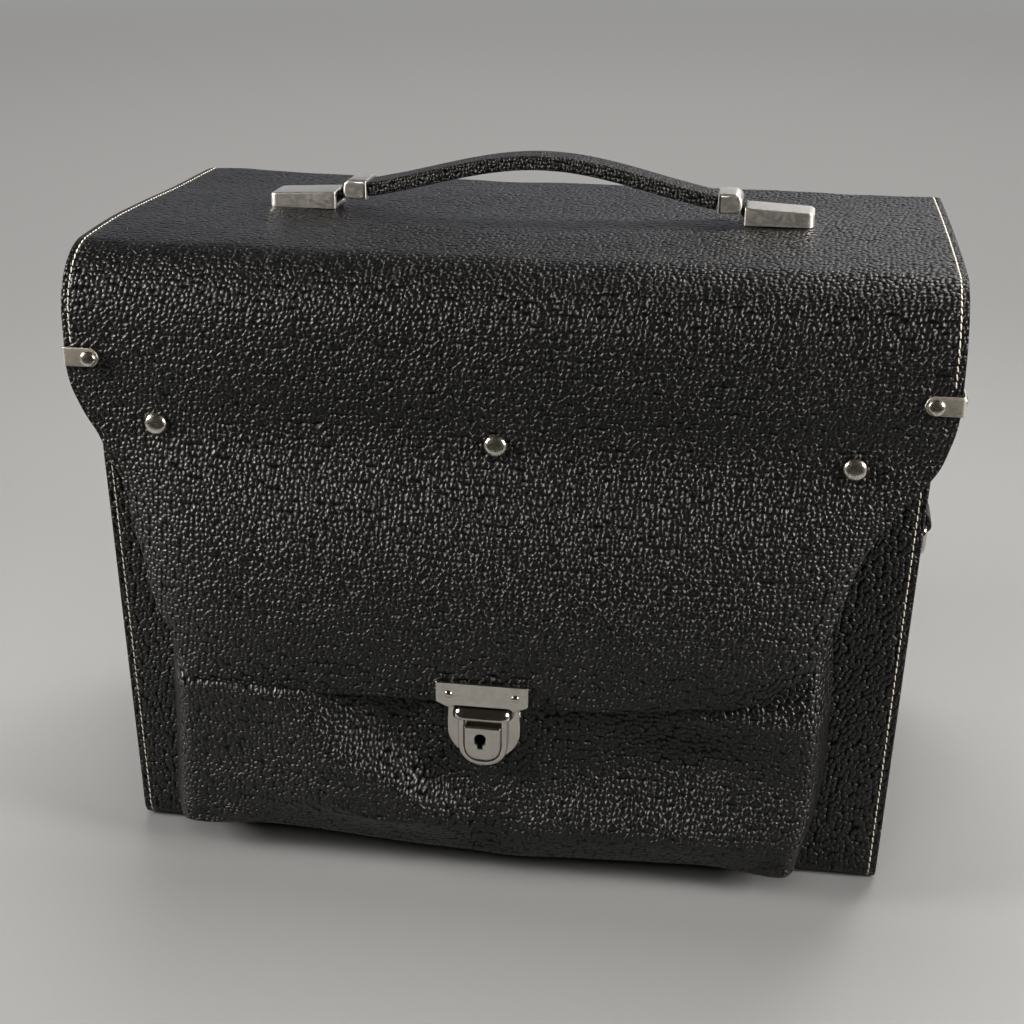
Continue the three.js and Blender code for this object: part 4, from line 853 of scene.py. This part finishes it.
def plated_metal(name, colour, tarnish, roughness, grime):
    """Plated metal: cloudy tarnish in the colour, fine scratches along X in the gloss, and grime in spots on
    upright faces."""
    material, tree, shader = new_material(name)
    coordinates = node(tree, "TexCoord").outputs
    place = coordinates["Object"]
    plating = mixed(tree, noise(tree, place, TARNISH_SCALE, 4.0), (*colour, 1), (*tarnish, 1))
    stretched = node(tree, "Mapping", {"Vector": place, "Scale": SCRATCH_SCALE}).outputs[0]
    scratch = noise(tree, stretched, 1.0, 2.0)
    gloss = graded(tree, scratch, SCRATCH_FROM, SCRATCH_TO, roughness, roughness + SCRATCH_MATT)
    level = math_node(tree, "ABSOLUTE", node(tree, "SeparateXYZ", {0: coordinates["Normal"]}).outputs["Z"])
    upright = graded(tree, level, UPRIGHT, LEVEL, 1.0, 0.0)
    spots = graded(tree, noise(tree, place, GRIME_SCALE, 5.0), GRIME_FROM, GRIME_TO)
    dirt = math_node(tree, "MULTIPLY", math_node(tree, "MULTIPLY", spots, upright), grime, use_clamp=True)
    scratches = {"Strength": SCRATCH_STRENGTH, "Distance": SCRATCH_RELIEF * MM, "Height": scratch}
    bump = node(tree, "Bump", scratches)
    feed(tree, shader, {
        "Base Color": mixed(tree, dirt, plating, GRIME_COLOUR),
        "Metallic": 1.0,
        "Roughness": math_node(tree, "MULTIPLY_ADD", dirt, GRIME_MATT, gloss),
        "Normal": bump.outputs["Normal"],
    })
    return material


def tube(points, first=0):
    """Solid over a grid whose columns close to rings, with its first and last rings closed flat. Its vertices
    are numbered from first."""
    index = first + numbered(points)
    faces = grid_faces(np.hstack([index, index[:, :1]])).tolist()
    return points.reshape(-1, 3), faces + [index[0, ::-1].tolist(), index[-1].tolist()]


def plate(outline, levels, first=0):
    """Closed solid over a flat outline that runs anticlockwise: at each level, a height and an inset, the
    outline moves in along its mitred corners. The third axis is height."""
    ahead = unit(np.roll(outline, -1, axis=0) - outline)
    normal = np.column_stack([ahead[:, 1], -ahead[:, 0]])
    behind = np.roll(normal, 1, axis=0)
    mitre = (normal + behind) / (1 + (normal * behind).sum(1, keepdims=True))
    height, inset = np.asarray(levels, float).T[..., None]
    x, y = outline[:, 0] - inset * mitre[:, 0], outline[:, 1] - inset * mitre[:, 1]
    return tube(surface(x, y, height), first)


def quarter_round(thick, radius, drop, steps):
    """Levels round a plate's top edge: a quarter ellipse that moves in by a radius over a drop in height."""
    turn = np.linspace(0, np.pi / 2, steps)
    return np.column_stack([thick - drop * (1 - np.sin(turn)), radius * (1 - np.cos(turn))])


def rounded_levels(thick, radius, foot=0.1):
    """Levels of a plate with a square foot and a rounded top edge, with a narrow flat band inside both."""
    top = quarter_round(thick, radius, radius, 5)
    return np.vstack([[(0, foot + FOOT_BAND), (0, foot), (foot, 0)], top, [(thick, radius + TOP_BAND)]])


def circle(radius, count):
    """Points of a circle about the origin, anticlockwise."""
    angle = np.linspace(0, 2 * np.pi, count + 1)[:-1]
    return radius * np.column_stack([np.cos(angle), np.sin(angle)])


def rivet_cap(rivet, count):
    """A rivet's cap about the origin: a short straight edge, then a flattened half ellipse."""
    radius, height = rivet["radius"], rivet["height"]
    turn = np.linspace(0, np.pi / 2 - RIVET_TOP, 9)
    edge = height * RIVET_EDGE
    inset = radius * (1 - np.cos(turn) ** RIVET_FLATNESS)
    dome = np.column_stack([edge + (height - edge) * np.sin(turn), inset])
    return plate(circle(radius, count), np.vstack([[(0, 0.3), (0, 0.02)], dome]))


def facing_front(solid, x, y, z):
    """A plate's solid, moved so that its height points to the front from the plane at y."""
    points, faces = solid
    return np.column_stack([x + points[:, 0], y - points[:, 2], z + points[:, 1]]), faces


nickel = plated_metal("nickel_plate", (0.56, 0.54, 0.50), (0.48, 0.455, 0.41), roughness=0.09, grime=0.10)
satin = plated_metal("satin_plate", (0.62, 0.59, 0.53), (0.50, 0.47, 0.41), roughness=0.46, grime=0.4)
rivet_plate = plated_metal("rivet_plate", (0.68, 0.65, 0.59), (0.58, 0.55, 0.49), roughness=0.20, grime=0.1)
clip_half, clip_middle = (CLIP["top"] - CLIP["bottom"]) / 2, (CLIP["top"] + CLIP["bottom"]) / 2
clip_back = LID_FRONT_Y - FIT
clip_face, clip_end_y = clip_back - CLIP["thick"], clip_back + CLIP["reach"]
clip_bend_x = CLIP["outer"] - CLIP["bend"]
clip_path = np.vstack([
    straight((CLIP["inner"], clip_face), (clip_bend_x, clip_face), 0.6),
    arc((clip_bend_x, clip_face + CLIP["bend"]), CLIP["bend"], 270, 360, 7),
    straight((CLIP["outer"], clip_back + CLIP["bend"]), (CLIP["outer"], clip_end_y), 0.6),
    [(CLIP["outer"], clip_end_y)],
])
clip_run = run_length(clip_path)
from_end = np.clip(np.minimum(clip_run, clip_run[-1] - clip_run) / clip_half, 0.02, 1)
clip_wide = np.maximum(clip_half * np.sqrt(1 - (1 - from_end) ** 2) - CUT_EDGE / 2, CLIP_TIP)
clip_up = np.linspace(-1, 1, 13)[:, None]
clip = surface(clip_path[:, 0], clip_path[:, 1], clip_middle + clip_up * clip_wide)
for side_name, sign in SIDES.items():
    lower = CLIP_LOWER[side_name]
    rivet_z = CLIP_RIVET["z"] - lower
    clip_solid, _, _ = leather_shell((clip if sign > 0 else mirror(clip)) - [0, 0, lower], CLIP["thick"])
    add_piece(f"clip_{side_name}", clip_solid, satin, f"corner_clip_{side_name}")
    front_cap = facing_front(rivet_cap(CLIP_RIVET, 40), sign * CLIP_RIVET["x"], clip_face, rivet_z)
    add_piece(f"clip_cap_{side_name}", front_cap, rivet_plate, f"clip_rivet_{side_name}")
    cap_points, cap_faces = rivet_cap(SIDE_RIVET, 32)
    cap_points = cap_points[:, [2, 0, 1]] * [sign, sign, 1] + [sign * CLIP["outer"], SIDE_RIVET["y"], rivet_z]
    add_piece(f"clip_side_cap_{side_name}", (cap_points, cap_faces), rivet_plate,
              f"clip_side_rivet_{side_name}")

# Flap rivets: three nickel caps across the flap that hold its backing, seated a little into the leather.
# Each is set by hand, so the row isn't quite level.
FLAP_RIVET = {"radius": 4.75, "height": 2.6, "seat": 0.25}
FLAP_RIVETS = {"left": (-146.7, 196.1), "centre": (-1.6, 195.0), "right": (144.2, 194.0)}

for rivet_name, (rivet_x, rivet_z) in FLAP_RIVETS.items():
    seat_y = flap_depth(rivet_x, rivet_z) - FLAP_RIVET["seat"]
    flap_cap = facing_front(rivet_cap(FLAP_RIVET, 48), rivet_x, seat_y, rivet_z)
    add_piece(f"flap_cap_{rivet_name}", flap_cap, rivet_plate, f"flap_rivet_{rivet_name}")

# The lock: a stamped hasp plate riveted to the flap, and on the pocket a shield, a keyhole panel and a sprung
# slide whose ledge is pressed down with the thumb.
HASP = {"half": 19.8, "top": 97.0, "side": 87.5, "corner": 13.6, "bottom": 84.8, "back": -125.9, "thick": 1.6}
HASP_NOTCH = {"half": 11.6, "top": 86.2}
HASP_ROUND, HASP_EDGE = 0.7, 0.45
HASP_PIN = {"x": 14.2, "z": 91.4, "radius": 1.6, "height": 0.9}
SHIELD = {"half": 15.6, "top": 83.4, "straight": 72.0, "bottom": 58.6, "thick": 1.1, "edge": 0.4}
SHIELD_TAPER, SHIELD_POINT = 0.42, 0.62
SLIDE = {"half": 10.6, "rim": 2.5, "bottom": 57.4, "top": 81.6, "thick": 3.0, "edge": 0.8, "squareness": 2.25}
LEDGE = {"half": 13.1, "bottom": 80.3, "top": 86.0, "reach": 6.6, "round": 6.25, "edge": 0.9,
         "drop": 4.7, "in": 4.6}
KEYPLATE = {"half": 7.7, "bottom": 60.3, "top": 75.6, "squareness": 2.7}
KEYPLATE_RINGS = np.array([
    # share of the way from the keyhole's edge to the panel's edge, height
    (0, 0.4), (0, 2.9), (0.012, 3.2), (0.03, 3.3), (0.2, 3.32), (0.45, 3.35), (0.7, 3.38), (0.9, 3.4),
    (0.955, 3.35), (0.985, 3.15), (1, 2.8), (1, 0.0),
])
# Rings of the keyhole panel, counted from the hole outwards, that carry the painted shade.
RINGS_PAINTED_SHADE = 3
KEYHOLE = {"x": -1.0, "z": 70.1, "radius": 2.35, "slot": 1.1, "low": 66.2}
KEYHOLE_SHADE_COLOUR = (0.002, 0.002, 0.002, 1)
SHIELD_BACK = FRONT_Y - LOCK_SEAT["depth"] - FIT
LOCK_FACE = SHIELD_BACK - SHIELD["thick"] - FIT


def rounded_corners(corners, radius, steps):
    """A polygon whose corners are parabolas that start one radius before and end one radius after."""
    corners = np.asarray(corners, float)
    radius = np.broadcast_to(radius, len(corners))[:, None, None]
    before = unit(np.roll(corners, 1, axis=0) - corners)[:, None]
    after = unit(np.roll(corners, -1, axis=0) - corners)[:, None]
    t = np.linspace(0, 1, steps)[None, :, None]
    return (corners[:, None] + radius * ((1 - t) ** 2 * before + t ** 2 * after)).reshape(-1, 2)


def rounded_box(half, low, high, radius, steps):
    """A rectangle about the upright axis with rounded corners, from its lower left corner anticlockwise."""
    return rounded_corners([(-half, low), (half, low), (half, high), (-half, high)], radius, steps)


def u_path(half, top, bottom, squareness):
    """A U: down the left, round half a superellipse of this squareness (2 is a circle) and up the right."""
    angle = np.linspace(np.pi, 2 * np.pi, 41)
    round_x = np.sign(np.cos(angle)) * np.abs(np.cos(angle)) ** (2 / squareness)
    round_z = -np.abs(np.sin(angle)) ** (2 / squareness)
    bend = np.column_stack([half * round_x, bottom + half + half * round_z])
    return np.vstack([[(-half, top), (-half, top - 0.3)], bend, [(half, top - 0.3), (half, top)]])


def ray_radius(outline, spacing, centre, angle):
    """Distance from a centre to a star-shaped outline in each direction, its sides split at a spacing."""
    sides = zip(outline, np.roll(outline, -1, axis=0))
    arm = np.vstack([straight(start, end, spacing) for start, end in sides]) - centre
    toward = np.arctan2(arm[:, 1], arm[:, 0])
    order = np.argsort(toward)
    return np.interp(angle, toward[order], np.hypot(*arm.T)[order], period=2 * np.pi)


def swept(path, section, normals, closed=False):
    """A solid whose section, given along each path point's side and height axes, is carried along a path.
    An open path is closed by its end sections."""
    normals = np.broadcast_to(normals, path.shape)
    ahead = np.roll(path, -1, axis=0) - np.roll(path, 1, axis=0) if closed else np.gradient(path, axis=0)
    aside = unit(np.cross(normals, unit(ahead)))
    points = path[:, None] + section[:, :1] * aside[:, None] + section[:, 1:] * normals[:, None]
    if not closed:
        return tube(points)
    ring = np.pad(numbered(points), ((0, 1), (0, 1)), mode="wrap")
    return points.reshape(-1, 3), grid_faces(ring).tolist()


hasp_left = np.array([
    (-HASP["half"], HASP["top"]), (-HASP["half"], HASP["side"]), (-HASP["corner"], HASP["bottom"]),
    (-HASP_NOTCH["half"], HASP_NOTCH["top"]),
])
hasp_outline = rounded_corners(np.vstack([hasp_left, hasp_left[::-1] * [-1, 1]]), HASP_ROUND, 5)
hasp_solid = plate(hasp_outline, rounded_levels(HASP["thick"], HASP_EDGE))
add_piece("hasp_plate", facing_front(hasp_solid, LOCK_X, HASP["back"], 0), nickel, "lock_hasp")
for side_name, sign in SIDES.items():
    pin_x, pin_y = LOCK_X + sign * HASP_PIN["x"], HASP["back"] - HASP["thick"]
    hasp_cap = facing_front(rivet_cap(HASP_PIN, 28), pin_x, pin_y, HASP_PIN["z"])
    add_piece(f"hasp_cap_{side_name}", hasp_cap, nickel, f"hasp_pin_{side_name}")

shield_hull = np.array([
    (-SHIELD["half"], SHIELD["straight"]),
    (-SHIELD["half"], SHIELD["straight"] + SHIELD_TAPER * (SHIELD["bottom"] - SHIELD["straight"])),
    (-SHIELD_POINT * SHIELD["half"], SHIELD["bottom"]),
    (0, SHIELD["bottom"]),
])
t = np.linspace(0, 1, 15)[:, None]
shield_left = np.hstack([(1 - t) ** 3, 3 * t * (1 - t) ** 2, 3 * t ** 2 * (1 - t), t ** 3]) @ shield_hull
shield_left = np.vstack([[(-SHIELD["half"], SHIELD["top"])], shield_left])
shield_outline = np.vstack([shield_left, shield_left[-2::-1] * [-1, 1]])
shield_solid = plate(shield_outline, rounded_levels(SHIELD["thick"], SHIELD["edge"]))
add_piece("lock_shield", facing_front(shield_solid, LOCK_X, SHIELD_BACK, 0), nickel, "lock_base")

hole_centre = np.array([KEYHOLE["x"], KEYHOLE["z"]])
hole_meet = np.degrees(np.arcsin(KEYHOLE["slot"] / KEYHOLE["radius"]))
hole_outline = np.vstack([
    arc(hole_centre, KEYHOLE["radius"], hole_meet - 90, 270 - hole_meet, 40),
    [(KEYHOLE["x"] - KEYHOLE["slot"], KEYHOLE["low"]), (KEYHOLE["x"] + KEYHOLE["slot"], KEYHOLE["low"])],
])
panel_outline = u_path(KEYPLATE["half"], KEYPLATE["top"], KEYPLATE["bottom"], KEYPLATE["squareness"])
panel_angle = np.linspace(np.pi, -np.pi, 181)[:-1]
hole_radius = ray_radius(hole_outline, 0.12, hole_centre, panel_angle)
panel_reach = ray_radius(panel_outline, 0.15, hole_centre, panel_angle) - hole_radius
panel_share, panel_height = KEYPLATE_RINGS.T[..., None]
panel_radius = hole_radius + panel_share * panel_reach
panel_solid = tube(surface(KEYHOLE["x"] + panel_radius * np.cos(panel_angle),
                           KEYHOLE["z"] + panel_radius * np.sin(panel_angle), panel_height))
keyhole_panel = add_piece("keyhole_panel", facing_front(panel_solid, LOCK_X, LOCK_FACE, 0), nickel,
                          "lock_keyplate")
# The keyhole's wall, its bevelled lip and the sheet closing its bottom get a black material without
# reflection: painted shade in the hole.
keyhole_painted_shade, shade_tree, shade_shader = new_material("keyhole_painted_shade")
feed(shade_tree, shade_shader, {"Base Color": KEYHOLE_SHADE_COLOUR, "Specular IOR Level": 0.0})
keyhole_panel.data.materials.append(keyhole_painted_shade)
painted_shade_faces = np.zeros(len(panel_solid[1]), np.int32)
painted_shade_faces[:RINGS_PAINTED_SHADE * len(panel_angle)] = 1
painted_shade_faces[-2] = 1
keyhole_panel.data.polygons.foreach_set("material_index", painted_shade_faces)

rim_half = SLIDE["rim"] / 2
frame_path = u_path(SLIDE["half"] - rim_half, SLIDE["top"], SLIDE["bottom"] + rim_half, SLIDE["squareness"])
frame_line = surface(LOCK_X + frame_path[:, 0], LOCK_FACE, frame_path[:, 1])
rim_section = rounded_box(rim_half, 0, SLIDE["thick"], [0.05, 0.05, SLIDE["edge"], SLIDE["edge"]], 6)
frame_points, frame_faces = swept(frame_line, rim_section, [0.0, -1.0, 0.0])
ledge_plan = rounded_box(LEDGE["half"], -LEDGE["reach"], 0, [LEDGE["round"], LEDGE["round"], 0.3, 0.3], 14)
ledge_thick = LEDGE["top"] - LEDGE["bottom"]
ledge_low = quarter_round(0, LEDGE["edge"], LEDGE["edge"], 9)[::-1] * [-1, 1]
ledge_high = quarter_round(ledge_thick, LEDGE["in"], LEDGE["drop"], 9)
ledge_foot, ledge_crown = (0, LEDGE["edge"] + 0.15), (ledge_thick, LEDGE["in"] + 0.1)
ledge_levels = np.vstack([ledge_foot, ledge_low, ledge_high, ledge_crown])
ledge_points, ledge_faces = plate(ledge_plan, ledge_levels, len(frame_points))
ledge_points = ledge_points + [LOCK_X, LOCK_FACE, LEDGE["bottom"]]
slide_solid = (np.vstack([frame_points, ledge_points]), frame_faces + ledge_faces)
add_piece("thumb_slide", slide_solid, nickel, "lock_slide", body="lock_slide")

# The handle: a leather-covered strap bent to an arch, held at both ends in plated caps. Leather tongues run
# from the caps into stamped box brackets that are riveted through the top.
HANDLE_X, HANDLE_Y = 1.2, 7.0
GRIP = {"half": 78.6, "width": 18.0, "thick": 6.3, "end": 9.0, "rise": 14.6, "round": 1.5}
CAP = {"length": 10.6, "width": 19.6, "height": 8.8, "round": 4.08, "edge": 1.1}
BRACKET = {"inner": 92.0, "length": 30.5, "width": 20.0, "height": 7.8, "fall": 1.5,
           "corner": 3.0, "edge": 0.9}
BRACKET_MOUTH = ((0.0, 0.45), (0.12, 0.16), (0.45, 0.0))  # length, inset
TONGUE = {"width": 11.0, "thick": 2.6, "z": 3.9, "depth": 11.5, "round": 0.6}
SLOT_DEPTH, SLOT_ROUND, SLOT_EDGE, SLOT_FLARE = 12.0, 0.5, 0.35, 1.02
handle_slope = np.arctan((lid_top(HANDLE_Y + 1) - lid_top(HANDLE_Y - 1)) / 2)


def on_top(solid, sign=1):
    """A solid in the handle's own frame, moved to its place on the sloping top. A right-hand end piece is
    turned half round by a sign of -1 for the left end."""
    points, faces = solid
    x, y, z = (points * [sign, sign, 1]).T
    level, steep = np.cos(handle_slope), np.sin(handle_slope)
    foot_z = lid_top(HANDLE_Y) + FIT
    return np.column_stack([x, HANDLE_Y + y * level - z * steep, foot_z + y * steep + z * level]), faces


def add_strap(name, line, section, replaced, sign=1):
    """A leather strap: a section carried along a line in the handle's upright plane. Its place on the flat
    hide is the length along the line and round the section."""
    upward = np.cross(unit(np.gradient(line, axis=0)), [0.0, 1.0, 0.0])
    hide = surface(run_length(line)[:, None], run_length(section), 0).reshape(-1, 3)[:, :2]
    add_piece(name, on_top(swept(line, section, upward), sign), strap_leather, replaced,
              grain=np.ones(len(hide)), hide=hide)


def bracket_section(x, half, inset):
    """The bracket's upright section at a length: square at the foot, rounded along its two top edges. Its top
    falls evenly towards the outer end, and is moved in by an inset."""
    tall = BRACKET["height"] - BRACKET["fall"] * x / BRACKET["length"] - inset
    return rounded_box(half, 0, tall, [0.15, 0.15, BRACKET["edge"], BRACKET["edge"]], 8)


strap_leather = pebbled_leather("strap_leather", pebble=1.7, relief=0.46, roughness=0.34)
run = np.linspace(-1, 1, 121)
grip_arch = (1 - run ** 2 + (1 + np.cos(np.pi * run)) / 2) / 2
grip_line = surface(HANDLE_X + run * GRIP["half"], 0, GRIP["end"] + GRIP["rise"] * grip_arch)
grip_box = np.array([(1, -1), (1, 1), (-1, 1), (-1, -1)]) * [GRIP["width"] / 2, GRIP["thick"] / 2]
add_strap("grip_strap", grip_line, rounded_corners(grip_box, GRIP["round"], 7), "handle_grip")

chrome = plated_metal("chrome_plate", (0.84, 0.83, 0.81), (0.74, 0.72, 0.67), roughness=0.34, grime=0.45)
cap_box = np.array([(0, -1), (1, -1), (1, 1), (0, 1)]) * [CAP["length"], CAP["height"] / 2]
cap_outline = rounded_corners(cap_box, [0.3, CAP["round"], CAP["round"], 0.3], 10)
cap_half = CAP["width"] / 2
cap_edge = np.vstack([quarter_round(cap_half, CAP["edge"], CAP["edge"], 6), [(cap_half, CAP["edge"] + 0.15)]])
cap_solid = plate(cap_outline, np.vstack([cap_edge[::-1] * [-1, 1], cap_edge]))

slot_half, slot_tall = TONGUE["width"] / 2 + 2 * FIT, TONGUE["thick"] / 2 + 2 * FIT
slot = rounded_box(slot_half, TONGUE["z"] - slot_tall, TONGUE["z"] + slot_tall, SLOT_ROUND, 8)
bracket_half = BRACKET["width"] / 2
outer_turn = np.radians(np.linspace(0, 80, 9))
outer_x = BRACKET["length"] - BRACKET["corner"] * (1 - np.sin(outer_turn))
outer_half = bracket_half - BRACKET["corner"] * (1 - np.cos(outer_turn))
outer_inset = BRACKET["edge"] * (1 - np.cos(outer_turn))
box_rings = [(SLOT_DEPTH, slot), (SLOT_EDGE, slot), (0.0, slot * [SLOT_FLARE, 1.0])]
box_rings += [(x, bracket_section(x, bracket_half - inset, inset)) for x, inset in BRACKET_MOUTH]
box_rings += [(x, bracket_section(x, bracket_half, 0.0)) for x in np.linspace(2, 27, 9)]
outer_end = zip(outer_x, outer_half, outer_inset)
box_rings += [(x, bracket_section(x, half, inset)) for x, half, inset in outer_end]
box_solid = tube(np.array([np.insert(ring, 0, BRACKET["inner"] + x, axis=1) for x, ring in box_rings]))

tongue_half = TONGUE["thick"] / 2
tongue_section = rounded_box(TONGUE["width"] / 2, -tongue_half, tongue_half, TONGUE["round"], 4)
tongue_run = np.linspace(0, 1, 9)
tongue_z = GRIP["end"] + smooth_step(tongue_run, 0, 1) * (TONGUE["z"] - GRIP["end"])
for side_name, sign in SIDES.items():
    cap_start = HANDLE_X * sign + GRIP["half"] + FIT
    end_cap = facing_front(cap_solid, cap_start, 0, GRIP["end"])
    add_piece(f"strap_cap_{side_name}", on_top(end_cap, sign), chrome, f"handle_cap_{side_name}")
    bracket = on_top(box_solid, sign)
    add_piece(f"box_bracket_{side_name}", bracket, chrome, f"handle_bracket_{side_name}")
    tongue_start = cap_start + CAP["length"] + FIT
    tongue_x = tongue_start + tongue_run * (BRACKET["inner"] - FIT - tongue_start)
    tongue_end = BRACKET["inner"] + TONGUE["depth"]
    tongue_line = surface(np.append(tongue_x, tongue_end), 0, np.append(tongue_z, TONGUE["z"]))
    add_strap(f"tongue_strip_{side_name}", tongue_line, tongue_section, f"handle_tongue_{side_name}", sign)

# Strap rings: a leather loop sewn to each side panel and folded double round the bar of a nickel D-ring.
# The fold stands open round the bar and closes a few millimetres above it.
RING = {"z": 134.6, "half": 13.0, "drop": 15.2, "wire": 1.6, "corner": 3.2}
CHAPE = {"width": 21.0, "top": 168.0, "layer": 1.8, "closed": 8.9, "open": 2.2, "lean": 0.3}
ring_x = body_half(CHAPE["top"]) - SIDE_INSET + SIDE_BOW + FIT + CHAPE["layer"] + RING["wire"]

ring_bow = np.radians(np.linspace(180, 360, 49))
ring_corner, ring_low = RING["half"] - RING["corner"], RING["drop"] - RING["corner"]
ring_path = np.vstack([
    np.column_stack([RING["half"] * np.cos(ring_bow), -RING["corner"] + ring_low * np.sin(ring_bow)]),
    arc((ring_corner, -RING["corner"]), RING["corner"], 9, 90, 10),
    straight((ring_corner - 1, 0), (-ring_corner, 0), 1.2),
    arc((-ring_corner, -RING["corner"]), RING["corner"], 90, 171, 10),
])
ring_line = surface(0, ring_path[:, 0], ring_path[:, 1])
ring_points, ring_faces = swept(ring_line, circle(RING["wire"], 20), [1.0, 0.0, 0.0], closed=True)

loop_out = RING["wire"] + FIT / 2 + CHAPE["layer"]
loop_top = CHAPE["top"] - RING["z"]
loop_open = (loop_out - CHAPE["lean"], CHAPE["open"])
loop_closed = (2 * CHAPE["layer"] + 0.05 - loop_out, CHAPE["closed"])
loop_path = np.vstack([
    straight((-loop_out, loop_top - 1), (-loop_out, 0), 1.5),
    arc((0, 0), loop_out, 180, 360, 25),
    straight((loop_out, 0.5), loop_open, 0.8),
    straight(loop_open, loop_closed, 0.8),
    straight(loop_closed, (loop_closed[0], loop_top), 1.5),
])
loop_across = np.linspace(-1, 1, 19) * (CHAPE["width"] / 2 - CUT_EDGE)
loop = surface(loop_path[:, :1], loop_across, loop_path[:, 1:])
for side_name, sign in SIDES.items():
    half_turn, ring_place = [sign, sign, 1], [sign * ring_x, MIDDLE_Y, RING["z"]]
    loop_placed = loop * half_turn + ring_place
    add_leather(f"chape_loop_{side_name}", loop_placed, CHAPE["layer"], f"chape_{side_name}")
    add_piece(f"strap_ring_{side_name}", (ring_points * half_turn + ring_place, ring_faces), nickel,
              f"d_ring_{side_name}", body=f"ring_{side_name}")
